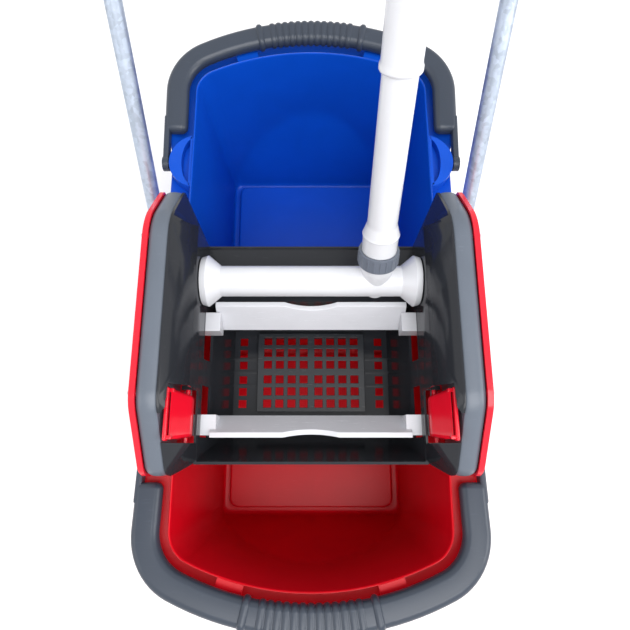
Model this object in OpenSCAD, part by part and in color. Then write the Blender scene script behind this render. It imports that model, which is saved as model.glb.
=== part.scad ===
// Double mop bucket trolley with a jaw wringer.
// The origin is on the floor where the two buckets meet. +X is right, +Y is back, +Z is up.
// The blue bucket stands at the back, the red one in front with the wringer on its rim.

/* [Buckets] */
// Height of a bucket from its foot to its rim
bucket_h = 300; // [240:5:360]
// Width of a bucket over its rim lip
rim_w = 340; // [320:2:370]
// Length of a bucket from the joint to the middle of its bowed end
rim_len = 362; // [350:2:400]
// Radius of the bowed outer end of the rim
rim_bow_r = 342; // [300:2:420]
// Radius of the rim's corners in plan
rim_corner_r = 45; // [40:1:55]
// Gap between the two rims
rim_gap = 4; // [2:0.5:8]
// Width of the turned-down rim lip
lip_w = 6; // [5:0.5:8]
// Depth of the turned-down rim lip
lip_depth = 22; // [16:1:28]
// Wall thickness of a bucket
bucket_wall = 3; // [2:0.25:4]
// How much each side wall draws in from the rim to the foot
side_taper = 13; // [8:1:16]
// Distance from the joint to the flat part of the outer end at the foot
foot_len = 306; // [290:1:320]
// Height at which the flat part of the outer end runs out into the bow
arch_h = 192; // [150:1:280]
// Height of the raised pad in the floor
pad_h = 12; // [6:1:16]
// Width of the groove round the pad
pad_gap = 11; // [6:0.5:12]

/* [Bails] */
// Width of the bail in plan
bail_w = 32; // [28:1:34]
// Height of the bail
bail_h = 20; // [16:1:22]
// Gap between the rim lip and the bail
bail_gap = 3; // [2:0.5:5]
// Thickness of the bail's flat arm at the ear
arm_t = 9; // [7:0.5:10]
// Distance from the pivot to the thick part of the bail
arm_len = 58; // [56:1:64]
// Diameter of the bail's pivot pin
bail_pin_d = 12; // [9:0.5:14]
// Depth of the pivot below the rim
bail_drop = 13; // [12:0.5:15]
// Number of ridges on the bail's grip
grip_ridges = 13; // [7:2:17]
// Radius of the bucket ear in plan
ear_r = 40; // [36:1:44]

/* [Trolley frame] */
// Diameter of the frame and bow tube
tube_d = 20; // [18:1:25]
// Wall of the frame and bow tube
tube_wall = 1.5; // [1:0.25:2.5]
// How far the loop's side tubes stand outside the rims
loop_out = 20; // [18:1:26]
// How far the loop's end tubes stand inside the bowed rims
loop_in = 34; // [28:1:44]
// Radius of the base loop's corners
loop_r = 60; // [50:1:70]
// Distance from the loop's side tube to the bow's leg beside it
bow_out = 29; // [28:1:34]
// Height of the bow's cross tube above the floor
bow_h = 900; // [860:5:960]
// Lean of the bow from the vertical, in degrees
bow_lean = 37; // [30:0.5:40]
// Place of the bow's lower bend along the trolley
bow_foot_y = -82; // [-110:2:-60]
// Length of the bow's leg along the loop
bow_leg = 190; // [170:5:210]
// Radius of the bow's bends
bow_r = 70; // [60:1:80]
// Thickness of a castor plate
plate_t = 4; // [3:0.5:5]
// Diameter of the bolts that hold the bow
bow_bolt_d = 8; // [6:1:8]

/* [Castors] */
// Diameter of a wheel over its tyre
wheel_d = 75; // [70:1:76]
// Width of a tyre
tyre_w = 22; // [18:1:24]
// Thickness of the tyre
tyre_t = 9; // [7:0.5:10]
// Trail of the wheel behind its swivel
castor_trail = 28; // [24:1:32]
// Height of a castor from the floor to its plate
castor_h = 87; // [87:1:100]
// Diameter of the swivel stem
stem_d = 10; // [8:0.5:12]
// Diameter of a wheel axle
axle_d = 8; // [6:0.5:10]
// Thickness of a fork's cheek
fork_t = 3; // [2:0.25:4]
// Inset of a castor from the corner of the loop
castor_inset = 38; // [36:1:44]

/* [Wringer] */
// Half width of the basket between its side walls at the lever shaft
basket_x = 131; // [130:0.5:133]
// Half width of the basket's floor
floor_x = 110; // [104:1:114]
// Half width between the side lips
lip_x = 155; // [153:0.5:156]
// Depth of the basket's floor below the rim
basket_depth = 110; // [90:1:130]
// Height of the side lips above the rim
lip_h = 103; // [100:1:110]
// Wall thickness of the basket
basket_wall = 3; // [2.5:0.25:3]
// Width of a grey side housing
housing_w = 22; // [20:0.5:26]
// Thickness of the red side covers
cover_w = 7; // [6:0.5:7]
// Columns of holes in the raised grate
grate_cols = 8; // [6:2:8]
// Rows of holes in the raised grate
grate_rows = 6; // [4:2:6]
// Distance between hole centres in the grate
grate_pitch = 17; // [15:0.5:17]
// Side of a square hole in the grate
grate_hole = 11; // [8:0.5:12]

/* [Lever] */
// Height of the basket's sill and apron above the rim
sill_h = 4; // [3.5:0.25:5]
// Place of the lever shaft along the trolley
shaft_y = -5; // [-6:0.5:-4]
// Outer diameter of the white cross tube
shaft_d = 37; // [34:0.5:38]
// Diameter of the flared ends
flare_d = 62; // [54:1:64]
// Sideways place of the lever
lever_x = 78; // [60:1:84]
// Backward lean of the lever at rest, in degrees
lever_lean = 29; // [15:0.5:35]
// Outer diameter of the lever's lower pipe
lever_d = 33; // [30:0.5:34]
// Outer diameter of the lever's upper pipe
grip_d = 37; // [36:0.5:40]
// Distance from the shaft to the joint of the two pipes
lever_joint = 248; // [220:2:300]
// Distance from the shaft to the top of the lever
lever_len = 560; // [480:5:620]

/* [Jaws and racks] */
// Module of the pinion's teeth
tooth_m = 3; // [2.8:0.05:3.1]
// Pressure angle of the teeth, in degrees
tooth_angle = 25; // [22:1:26]
// Play between the teeth
tooth_play = 0.6; // [0.4:0.1:0.8]
// Turn of the lever from rest to its stop, in degrees
lever_turn = 90; // [70:1:92]
// Thickness of a jaw plate
jaw_t = 6; // [5:0.5:7]
// Height of a jaw plate
jaw_h = 36; // [30:1:38]
// Slant of a jaw plate along the trolley
jaw_slant = 22; // [16:1:24]
// Distance between the top edges of the open jaws
jaw_gap = 165; // [160:1:170]
// Width of a rack and of its arm
rack_w = 6.5; // [6:0.25:6.75]
// Diameter of the pinion's spindle in the basket wall
spindle_d = 22; // [20:0.5:24]
// Diameter of the pinion's outer journal in the cover
journal_d = 18; // [14:0.5:18]

/* [Fits] */
// Gap between pieces that move past each other
run_gap = 0.4; // [0.3:0.05:0.6]
// Gap between pieces that rest on each other
seat_gap = 0.2; // [0.1:0.05:0.3]
// Radial play of a pin in its hole
pin_play = 0.05; // [0.02:0.01:0.08]

/* [Hidden] */
$fn = 64;
left = -1;
right = 1;
front = -1;
rear = 1;
frame_z = castor_h + plate_t + tube_d / 2 - 1;
deck_z = frame_z + tube_d / 2;
foot_z = deck_z + seat_gap;
rim_z = foot_z + bucket_h;
bucket_mid = rim_gap / 2 + rim_len / 2;
bow_centre_y = rim_gap / 2 + rim_len - rim_bow_r;
lip_sine = (rim_w / 2 - rim_corner_r) / (rim_bow_r - rim_corner_r);
lip_cosine = sqrt(1 - lip_sine * lip_sine);
bail_z = rim_z - bail_drop;
bail_x = rim_w / 2 + bail_gap + bail_w / 2;
arm_x = bail_x + bail_w / 2 - arm_t;
bail_pin_l = arm_x - rim_w / 2 - 2;
grip_pitch = 1.45;
grip_reach = grip_pitch * (grip_ridges + 4) / 2;
rest_drop = 4.5;
rest_from = grip_reach + 0.8;
rest_to = rest_from + 5;
rest_reach = bow_centre_y + (rim_bow_r + bail_gap + bail_h / 2) * cos(rest_to) - bucket_mid;
bail_tilt = asin((bail_drop - rest_drop + bail_h / 2 + seat_gap) / rest_reach);
loop_w = rim_w + 2 * loop_out;
loop_len = rim_gap + 2 * (rim_len - loop_in);
bow_w = loop_w + 2 * bow_out;
castor_x = loop_w / 2 - castor_inset;
castor_y = loop_len / 2 - castor_inset;
axle_z = wheel_d / 2;
hub_r = wheel_d / 2 - tyre_t;
fork_gap = tyre_w / 2 + 1.5;
fork_top = castor_h - run_gap;
sill_z = rim_z + sill_h;
shaft_z = sill_z + flare_d / 2 + 1;
lip_z = rim_z + lip_h;
sill_front = rim_z + 20;
kink_z = lip_z - 29;
floor_z = rim_z - basket_depth;
wall_x = basket_x + basket_wall;
housing_x = lip_x + basket_wall + seat_gap;
cover_x = housing_x + housing_w + seat_gap;
pinion_teeth = 14;
pitch_r = tooth_m * pinion_teeth / 2;
jaw_travel = pitch_r * lever_turn * PI / 180;
rack_pitch = PI * tooth_m;
tooth_tip = 0.93 * tooth_m;
tooth_root = 1.2 * tooth_m;
bar_t = 9;
inner_plane = wall_x + 2;
outer_plane = inner_plane + rack_w + 1.5;
pinion_x = inner_plane - 0.5;
pinion_w = outer_plane + rack_w + 0.5 - pinion_x;
back_gap = 7.5;
back_y = -(rim_gap / 2 + lip_w + bucket_wall + back_gap) - basket_wall;
rear_jaw_y = back_y - 2.5;
front_jaw_y = rear_jaw_y - jaw_gap;
jaw_x = basket_x - 12;
jaw_top = rim_z + 12;
jaw_low = jaw_top - jaw_h;
lug_low = jaw_low + 3;
lug_high = rim_z + 6;
rear_lug_y = rear_jaw_y - 36;
front_lug_y = front_jaw_y + 3;
lug_l = 24;
upper_rack_z = shaft_z + pitch_r + tooth_root + bar_t;
lower_rack_z = shaft_z - pitch_r - tooth_root - bar_t;
apron_y = shaft_y + 54;
basket_front = front_jaw_y - 27;
floor_front = front_jaw_y + 13;
floor_back = back_y - 12;
grate_w = 152;
grate_l = 112;
grate_h = 8;
grate_y = (floor_front + floor_back) / 2 + 10;
strip_x = (grate_w / 2 + floor_x) / 2 + 4;
bush_d = spindle_d + 6;
tee_d = lever_d + 7;
tee_l = 48;
tee_seat = shaft_d / 2 + 8;
lever_nut_h = 19;
pipe_lap = 30;
cap_h = 14;
cap_plug_d = grip_d - 6;
boss_r = 6;
screw_d = 4;
swivel_h = 10;
swivel_r = 22;
nut_h = 8;
latch_l = 56;
latch_y = front_jaw_y + 23;
latch_low = rim_z + 28;
latch_top = kink_z + 10;
latch_in = basket_x - 4;
latch_out = lip_x - 2;
latch_pin_d = 6;
latch_pivot_x = basket_x + 11;
latch_pivot_z = latch_low + latch_pin_d / 2 + 2;

// Outlines are lists of corners, each [x, y, radius], in counter-clockwise order.
function unit(v) = v / norm(v);
function flat(p) = [p.x, p.y];
function turn(from, to) = (to - from + 540) % 360 - 180;
function bearing(v) = atan2(v.y, v.x);

// Half the inner angle at corner b, and the way from b to the middle of its arc
function half_angle(a, b, c) = acos(unit(flat(a) - flat(b)) * unit(flat(c) - flat(b))) / 2;
function inward(a, b, c) = unit(unit(flat(a) - flat(b)) + unit(flat(c) - flat(b)));
function arc_centre(a, b, c) = flat(b) + inward(a, b, c) * b[2] / sin(half_angle(a, b, c));
function arc_cut(a, b, c) = b[2] / tan(half_angle(a, b, c));
function arc_start(a, b, c) = flat(b) + unit(flat(a) - flat(b)) * arc_cut(a, b, c);
function arc_end(a, b, c) = flat(b) + unit(flat(c) - flat(b)) * arc_cut(a, b, c);

function corner_points(a, b, c, steps) =
    let (centre = arc_centre(a, b, c),
         from = bearing(arc_start(a, b, c) - centre),
         sweep = turn(from, bearing(arc_end(a, b, c) - centre)))
    [for (i = [0:steps]) centre + b[2] * [cos(from + sweep * i / steps), sin(from + sweep * i / steps)]];

function rounded(corners, steps = 6) =
    let (n = len(corners))
    [for (i = [0:n - 1])
        for (p = corner_points(corners[(i + n - 1) % n], corners[i], corners[(i + 1) % n], steps)) p];

// The points without those that coincide with the next one, as where two arcs meet
function distinct(points) =
    [for (i = [0:len(points) - 1]) if (norm(points[i] - points[(i + 1) % len(points)]) > 0.01) points[i]];

// The same outline moved in by d all round
function inset(corners, d) =
    let (n = len(corners))
    [for (i = [0:n - 1])
        let (a = corners[(i + n - 1) % n], b = corners[i], c = corners[(i + 1) % n],
             p = flat(b) + inward(a, b, c) * d / sin(half_angle(a, b, c)))
        [p.x, p.y, max(b[2] - d, 0.5)]];

// A profile swept round a closed path of straights and round corners
module sweep(corners) {
    n = len(corners);
    for (i = [0:n - 1]) {
        a = corners[(i + n - 1) % n];
        b = corners[i];
        c = corners[(i + 1) % n];
        d = corners[(i + 2) % n];
        centre = arc_centre(a, b, c);
        from = bearing(arc_start(a, b, c) - centre);
        start = arc_end(a, b, c);
        end = arc_start(b, c, d);
        translate(centre)
            rotate([0, 0, from])
                rotate_extrude(angle = turn(from, bearing(start - centre)), $fn = 96)
                    translate([b[2], 0])
                        children();
        translate(end)
            rotate([0, 0, bearing(start - end)])
                rotate([90, 0, 90])
                    linear_extrude(norm(end - start))
                        children();
    }
}

// Points of a stadium, clockwise, with half circles of the given steps
function stadium_points(w, h, steps = 6) = reversed([
    for (side = [right, left], i = [0:steps])
        let (a = 180 * i / steps - side * 90)
        [side * (w - h) / 2 + h / 2 * cos(a), h / 2 * sin(a)]]);
function reversed(list) = [for (i = [len(list) - 1:-1:0]) list[i]];

// Rings of a profile at the start or the end of a straight from a to b, and round corner b.
// The path turns left. The profile's x points to its right and its y points up.
function end_ring(a, b, at, profile) =
    let (d = unit(flat(b) - flat(a)))
    [for (p = profile) [at.x + d.y * p.x, at.y - d.x * p.x, p.y]];
function arc_ring(centre, r, angle, profile) =
    [for (p = profile) [centre.x + (r + p.x) * cos(angle), centre.y + (r + p.x) * sin(angle), p.y]];
function corner_rings(a, b, c, profile, steps = 8) =
    let (centre = arc_centre(a, b, c),
         from = bearing(arc_start(a, b, c) - centre),
         sweep = turn(from, bearing(arc_end(a, b, c) - centre)))
    [for (k = [0:steps]) arc_ring(centre, b[2], from + sweep * k / steps, profile)];

// Places a profile of [y, z] points so that it runs from x0 along +X
module along_x(x0, length) {
    translate([x0, 0, 0])
        rotate([90, 0, 90])
            linear_extrude(length)
                children();
}

module along_y(y0, length) {
    translate([0, y0 + length, 0])
        rotate([90, 0, 0])
            linear_extrude(length)
                children();
}

// A closed skin through rings of equal count. Its ends are capped, or joined into a loop.
module loft(rings, loop = false) {
    n = len(rings);
    m = len(rings[0]);
    points = [for (ring = rings) for (p = ring) p];
    sides = [for (i = [0:loop ? n - 1 : n - 2]) for (j = [0:m - 1])
        let (k = (j + 1) % m, next = (i + 1) % n)
        each [[i * m + j, next * m + j, next * m + k], [i * m + j, next * m + k, i * m + k]]];
    base = [for (j = [0:m - 1]) j];
    top = [for (j = [m - 1:-1:0]) (n - 1) * m + j];
    polyhedron(points, loop ? sides : concat(sides, [base, top]), convexity = 6);
}

// Bucket, with its bowed end towards +Y

// Corners of the rim lip in plan. The bow and the end corners meet in one smooth line.
function lip_corners() =
    let (w = rim_w / 2,
         side_y = bow_centre_y + (rim_bow_r - w * lip_sine) / lip_cosine,
         apex_y = bow_centre_y + rim_bow_r / lip_cosine)
    [[w, rim_gap / 2, rim_corner_r], [w, side_y, rim_corner_r], [0, apex_y, rim_bow_r],
     [-w, side_y, rim_corner_r], [-w, rim_gap / 2, rim_corner_r]];

// Ring of the wall at height h above the foot, moved out by d.
// A steeper flat cuts the bowed end low down, which leaves an arch on the end wall.
function bucket_ring(d, h) =
    let (draw_in = lip_w + side_taper * (1 - h / bucket_h) - d,
         bow_end = rim_gap / 2 + rim_len - lip_w,
         flat_end = foot_len + (bow_end - foot_len) * h / arch_h + d)
    [for (p = distinct(rounded(inset(lip_corners(), draw_in), 8))) [p.x, min(p.y, flat_end), foot_z + h]];

module bucket_shell() {
    inner = -bucket_wall;
    floor_t = bucket_wall + 1;
    groove = inner - pad_gap;
    loft([
        bucket_ring(-5, 0),
        bucket_ring(0, 5),
        bucket_ring(0, arch_h * 0.5),
        bucket_ring(0, arch_h),
        bucket_ring(0, bucket_h - bucket_wall - 3),
        bucket_ring(lip_w - bucket_wall, bucket_h - bucket_wall - 1),
        bucket_ring(lip_w - bucket_wall + 0.5, bucket_h - lip_depth),
        bucket_ring(lip_w - 0.5, bucket_h - lip_depth),
        bucket_ring(lip_w, bucket_h - 4),
        bucket_ring(lip_w - 1.5, bucket_h - 1),
        bucket_ring(lip_w - 4, bucket_h),
        bucket_ring(0, bucket_h),
        bucket_ring(inner, bucket_h - 3),
        bucket_ring(inner, arch_h),
        bucket_ring(inner, arch_h * 0.5),
        bucket_ring(inner, floor_t + 5),
        bucket_ring(inner - 4, floor_t),
        bucket_ring(groove, floor_t),
        bucket_ring(groove - 3, floor_t + pad_h),
    ]);
}

// Ear for one end of the bail: half a disc against the rim, hollowed from above
module bucket_ear(side) {
    ear_out = arm_x - run_gap;
    ear_wall = 5;
    ear_low = bail_drop + bail_pin_d / 2 + 4;
    ear_top = 4;
    difference() {
        ear_disc(side, ear_out, ear_r, rim_w / 2 - bucket_wall * 0.85, -ear_low, -ear_top);
        ear_disc(side, ear_out - ear_wall, ear_r - ear_wall, rim_w / 2 + 2, 3 - ear_low, 1);
    }
}

// Part of a disc that lies between |x| = flat and |x| = out, at heights from the rim
module ear_disc(side, out, r, flat, low, high) {
    intersection() {
        translate([side * (out - r), bucket_mid, rim_z + low])
            cylinder(r = r, h = high - low);
        side_box(side, flat, out + 1, bucket_mid - r - 1, bucket_mid + r + 1,
                 rim_z + low - 1, rim_z + high + 1);
    }
}

module bail_bore(side) {
    translate([side * (arm_x - bail_pin_l - 1), bucket_mid, bail_z])
        rotate([0, side * 90, 0])
            cylinder(d = bail_pin_d + 2 * pin_play, h = 2 * bail_pin_l);
}

// Lug on the rim lip that carries the lying bail
module bail_rest(side) {
    rest_t = 4;
    inner_r = rim_bow_r - bucket_wall * 0.6;
    outer_r = rim_bow_r + bail_gap + bail_w / 2;
    translate([0, bow_centre_y, rim_z - rest_drop - rest_t])
        rotate([0, 0, 90 + (side > 0 ? rest_from : -rest_to)])
            rotate_extrude(angle = rest_to - rest_from, $fn = 96)
                translate([inner_r, 0])
                    square([outer_r - inner_r, rest_t]);
}

module blue_bucket() {
    color([0.04, 0.25, 0.72])
        bucket();
}

module red_bucket() {
    color([0.77, 0, 0.11])
        mirror([0, 1, 0])
            bucket();
}

module bucket() {
    difference() {
        union() {
            bucket_shell();
            for (side = [left, right]) {
                bucket_ear(side);
                bail_rest(side);
            }
        }
        for (side = [left, right])
            bail_bore(side);
    }
}

// Bail lying round the bowed end on its rests, with flat arms to its pivots.
// It is drawn level with the pivots and then turned about them.
function bail_path() =
    let (out = inset(lip_corners(), -bail_gap - bail_w / 2))
    [[out[0].x, bucket_mid + arm_len, 0], out[1], out[2], out[3], [out[4].x, bucket_mid + arm_len, 0]];

module blue_bail() {
    color([0.35, 0.38, 0.44])
        bail();
}

module red_bail() {
    color([0.35, 0.38, 0.44])
        mirror([0, 1, 0])
            bail();
}

// Stations along the bow as [angle from its middle, rise of the skin]: a ridged grip between two collars
function band(at, width, rise) =
    let (ramp = width / 6)
    [[at - width / 2, 0], [at - width / 2 + ramp, rise], [at + width / 2 - ramp, rise], [at + width / 2, 0]];
function bow_stations() =
    let (pitch = grip_pitch, reach = asin(lip_sine), collar = grip_reach - pitch / 2, steps = 5,
         plain = [for (i = [1:steps]) reach + (collar + pitch - reach) * i / steps])
    concat(
        [for (a = plain) [-a, 0]],
        band(-collar, pitch, 3),
        [for (k = [0:grip_ridges - 1]) each band(pitch * (k - (grip_ridges - 1) / 2), pitch * 0.7, 1.5)],
        band(collar, pitch, 3),
        [for (a = reversed(plain)) [a, 0]]);

module bail() {
    path = bail_path();
    skin = stadium_points(bail_w, bail_h);
    translate([0, bucket_mid, bail_z])
        rotate([bail_tilt, 0, 0])
            translate([0, -bucket_mid, 0]) {
                loft(concat(
                    [end_ring(path[0], path[1], path[0], skin)],
                    corner_rings(path[0], path[1], path[2], skin),
                    [for (s = bow_stations())
                        arc_ring([0, bow_centre_y], path[2][2], 90 + s[0],
                                 stadium_points(bail_w + 2 * s[1], bail_h + 2 * s[1]))],
                    corner_rings(path[2], path[3], path[4], skin),
                    [end_ring(path[3], path[4], path[4], skin)]));
                for (side = [left, right])
                    bail_arm(side);
            }
}

module bail_arm(side) {
    eye_r = bail_h / 2 + 2;
    translate([side > 0 ? arm_x : -arm_x - arm_t, bucket_mid, -bail_h / 2])
        cube([arm_t, arm_len + 1, bail_h]);
    translate([side * arm_x, bucket_mid, 0])
        rotate([0, side * 90, 0]) {
            cylinder(r = eye_r, h = arm_t);
            translate([0, 0, -bail_pin_l])
                cylinder(d = bail_pin_d, h = bail_pin_l + 1);
        }
}

// Trolley frame

module base_frame() {
    color("silver")
        difference() {
            union() {
                frame_tubes(tube_d);
                for (i = [left, right], j = [left, right])
                    castor_plate(i, j);
            }
            frame_tubes(tube_d - 2 * tube_wall);
            for (side = [left, right], at = bow_bolt_places())
                translate([side * loop_w / 2, at, frame_z])
                    rotate([0, 90, 0])
                        cylinder(d = bow_bolt_d + 2 * pin_play, h = tube_d + 2, center = true);
        }
}

// The loop and its cross tubes as solid rods. Two cross tubes carry each bucket.
module frame_tubes(d) {
    x = loop_w / 2;
    y = loop_len / 2;
    translate([0, 0, frame_z]) {
        sweep([[x, -y, loop_r], [x, y, loop_r], [-x, y, loop_r], [-x, -y, loop_r]])
            circle(d = d);
        for (end = [left, right], part = [0.27, 0.85])
            translate([0, end * (rim_gap / 2 + foot_len * part), 0])
                rotate([0, 90, 0])
                    cylinder(d = d, h = loop_w, center = true);
    }
}

// Plate welded under the loop's corner, drilled for the castor's stem
module castor_plate(i, j) {
    size = castor_inset + tube_d / 2 + 22;
    plate = [[-22, -22, 8], [size - 22, -22, 8], [size - 22, size - 22, loop_r * 0.7], [-22, size - 22, 8]];
    translate([i * castor_x, j * castor_y, castor_h])
        difference() {
            scale_sign(i, j)
                linear_extrude(plate_t)
                    polygon(rounded(plate));
            translate([0, 0, -1])
                cylinder(d = stem_d + 2 * pin_play, h = plate_t + 2);
        }
}

// Turns a shape drawn for the +X, +Y corner to another corner
module scale_sign(i, j) {
    mirror([i < 0 ? 1 : 0, 0, 0])
        mirror([0, j < 0 ? 1 : 0, 0])
            children();
}

function bow_bend() = 90 - bow_lean;
function bow_cut() = bow_r * tan(bow_bend() / 2);
function bow_bolt_places() = [for (part = [0.5, 0.67]) -rim_gap / 2 - foot_len * part];

// The bow is one tube: level feet along the loop, a bend in each leg, and a cross tube at the top.
// Its rings are worked out for the right leg and mirrored for the left.
function bow_half(r) =
    let (sides = 20, steps = 7, x = bow_w / 2, up = [0, sin(bow_lean), cos(bow_lean)],
         back = [0, cos(bow_lean), -sin(bow_lean)],
         foot = [x, bow_foot_y, frame_z],
         slant = (bow_h - frame_z) / cos(bow_lean),
         round = [for (i = [0:sides - 1]) r * [cos(360 / sides * i), sin(360 / sides * i)]])
    concat(
        [[for (p = round) foot + [p.x, -bow_leg, -p.y]]],
        [for (i = [0:steps])
            let (a = bow_bend() * i / steps, out = [0, sin(a), -cos(a)],
                 centre = foot + [0, -bow_cut(), bow_r])
            [for (p = round) centre + out * (bow_r + p.y) + [p.x, 0, 0]]],
        [for (i = [0:steps])
            let (a = 90 * i / steps, out = [cos(a), 0, 0] + up * sin(a),
                 centre = foot + [-bow_r, 0, 0] + up * (slant - bow_r))
            [for (p = round) centre + out * (bow_r + p.x) + back * p.y]]);

function bow_rings(r) =
    let (half = bow_half(r))
    concat(half, [for (i = [len(half) - 1:-1:0]) [for (p = half[i]) [-p.x, p.y, p.z]]]);

module push_bow() {
    color("lightsteelblue")
        difference() {
            loft(concat(bow_rings(tube_d / 2), reversed(bow_rings(tube_d / 2 - tube_wall))), loop = true);
            for (side = [left, right], at = bow_bolt_places())
                translate([side * bow_w / 2, at, frame_z])
                    rotate([0, 90, 0])
                        cylinder(d = bow_bolt_d + 2 * pin_play, h = tube_d + 2, center = true);
        }
}

// Saddle spacers fill the space between the loop and the bow's feet
module bow_spacers() {
    color("dimgray")
        for (side = [left, right], at = bow_bolt_places())
            bow_spacer(side, at);
}

module bow_spacer(side, at) {
    difference() {
        translate([side * (loop_w / 2 + bow_w / 2) / 2, at, frame_z])
            cube([bow_w / 2 - loop_w / 2, tube_d, tube_d * 0.8], center = true);
        for (x = [loop_w / 2, bow_w / 2])
            translate([side * x, at, frame_z])
                rotate([90, 0, 0])
                    cylinder(d = tube_d + 2 * seat_gap, h = tube_d + 2, center = true);
        translate([0, at, frame_z])
            rotate([0, side * 90, 0])
                cylinder(d = bow_bolt_d + 2 * pin_play, h = bow_w);
    }
}

module frame_bolts() {
    color("gainsboro")
        for (side = [left, right], at = bow_bolt_places())
            frame_bolt(side, at);
}

// Round-head bolt from the bow inwards, with a nut against the loop
module frame_bolt(side, at) {
    outer = bow_w / 2 + tube_d / 2 + seat_gap;
    inner = loop_w / 2 - tube_d / 2 - seat_gap;
    head_r = bow_bolt_d * 0.85;
    nut_h = bow_bolt_d * 0.8;
    translate([0, at, frame_z])
        rotate([0, side * 90, 0]) {
            translate([0, 0, inner - nut_h - 3])
                cylinder(d = bow_bolt_d, h = outer - inner + nut_h + 4);
            translate([0, 0, outer])
                cylinder(r1 = head_r, r2 = head_r * 0.6, h = bow_bolt_d * 0.5);
            translate([0, 0, inner - nut_h])
                cylinder(r = bow_bolt_d * 0.92, h = nut_h, $fn = 6);
        }
}

// Castors, drawn at the swivel axis with the wheel trailing towards +Y

function castor_at(end, side) = [side * castor_x, end * castor_y, 0];

module castor_piece(end, side, tint) {
    color(tint)
        translate(castor_at(end, side))
            children();
}

module castor_stems() {
    color("gainsboro")
        for (end = [front, rear], side = [left, right])
            translate(castor_at(end, side))
                castor_stem();
}

// Swivel bolt: its head carries the fork, and its nut sits on the plate
module castor_stem() {
    head_z = fork_top - swivel_h - run_gap;
    nut_z = castor_h + plate_t + seat_gap;
    translate([0, 0, head_z - 3])
        cylinder(d = 1.8 * stem_d, h = 3);
    translate([0, 0, head_z - 1])
        cylinder(d = stem_d, h = nut_z + nut_h + 3 - head_z);
    translate([0, 0, nut_z])
        cylinder(r = 0.92 * stem_d, h = nut_h, $fn = 6);
}

module fork() {
    cheek = [[-18, fork_top, 2], [castor_trail - 12, axle_z - 11, 9], [castor_trail + 12, axle_z - 11, 9],
             [24, fork_top, 2]];
    difference() {
        union() {
            translate([0, 0, fork_top - swivel_h])
                cylinder(r = swivel_r, h = swivel_h);
            for (x = [-fork_gap - fork_t, fork_gap])
                along_x(x, fork_t)
                    polygon(rounded(cheek));
        }
        translate([0, 0, fork_top - swivel_h - 1])
            cylinder(d = stem_d + 2 * pin_play, h = swivel_h + 2);
        translate([0, castor_trail, axle_z])
            rotate([0, 90, 0])
                cylinder(d = axle_d + 2 * pin_play, h = 4 * fork_gap, center = true);
    }
}

module axle() {
    outer = fork_gap + fork_t + seat_gap;
    translate([0, castor_trail, axle_z])
        rotate([0, 90, 0]) {
            cylinder(d = axle_d, h = 2 * outer + axle_d, center = true);
            translate([0, 0, outer])
                cylinder(r = 0.92 * axle_d, h = 0.6 * axle_d, $fn = 6);
            translate([0, 0, -outer - 0.5 * axle_d])
                cylinder(r = 0.9 * axle_d, h = 0.5 * axle_d);
        }
}

// Wheel hub: a boss on the axle, a thin web with round holes, and a rim for the tyre
module hub() {
    boss_r = axle_d / 2 + 5;
    hub_w = tyre_w - 2;
    web_t = 6;
    rim_t = 4;
    translate([0, castor_trail, axle_z])
        rotate([0, 90, 0])
            difference() {
                union() {
                    cylinder(r = boss_r, h = 2 * fork_gap - 1, center = true);
                    cylinder(r = hub_r, h = web_t, center = true);
                    difference() {
                        cylinder(r = hub_r, h = hub_w, center = true);
                        cylinder(r = hub_r - rim_t, h = hub_w + 2, center = true);
                    }
                }
                cylinder(d = axle_d + 2 * pin_play, h = 4 * fork_gap, center = true);
                for (i = [0:4])
                    rotate([0, 0, 72 * i])
                        translate([(boss_r + hub_r - rim_t) / 2, 0, 0])
                            cylinder(r = (hub_r - rim_t - boss_r) / 2 - 1.5, h = hub_w, center = true);
            }
}

module tyre() {
    shoulder = 5;
    translate([0, castor_trail, axle_z])
        rotate([0, 90, 0])
            rotate_extrude($fn = 96)
                difference() {
                    translate([hub_r + pin_play, -tyre_w / 2])
                        square([tyre_t - pin_play, tyre_w]);
                    for (side = [left, right])
                        translate([wheel_d / 2 - shoulder, side * (tyre_w / 2 - shoulder)])
                            difference() {
                                translate([0, side > 0 ? 0 : -shoulder - 1])
                                    square(shoulder + 1);
                                circle(r = shoulder);
                            }
                }
}

// Wringer. Its side outline is a list of [y, z, radius] corners.

function side_corners() = [
    [basket_front - 15, rim_z + seat_gap, 4], [apron_y + 13, rim_z + seat_gap, 8],
    [apron_y + 61, rim_z + 50, 10], [apron_y, lip_z, 60],
    [basket_front + 59, lip_z, 40], [basket_front - 15, rim_z + 48, 25]];

// The tub from the side and from the front. t is 0 for its inside and the wall for its outside.
function tub_side(t) = [
    [floor_front - t, floor_z - t], [floor_back + t, floor_z - t], [back_y + t, sill_z - t],
    [apron_y + t, sill_z - t]];
function tub_section(t) =
    let (half = [[floor_x + t, floor_z - t], [basket_x + t, sill_z], [basket_x + t, lip_z]])
    concat(half, [for (p = reversed(half)) [-p.x, p.y]]);

module tub() {
    open = 300;
    lip_t = 2.5;
    difference() {
        intersection() {
            along_x(-open, 2 * open)
                polygon(concat(tub_side(basket_wall),
                    [[apron_y + basket_wall, sill_z], [basket_front - basket_wall, sill_front]]));
            along_y(-open, 2 * open)
                polygon(tub_section(basket_wall));
        }
        intersection() {
            along_x(-open, 2 * open)
                polygon(concat(tub_side(0), [[open, sill_z], [open, lip_z], [-open, lip_z],
                    [-open, sill_front], [basket_front, sill_front]]));
            along_y(-open, 2 * open)
                polygon(tub_section(0));
        }
    }
    translate([-basket_x - 1, apron_y + basket_wall - lip_t, sill_z - 1])
        cube([2 * basket_x + 2, lip_t, lip_t + 1]);
}

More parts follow.
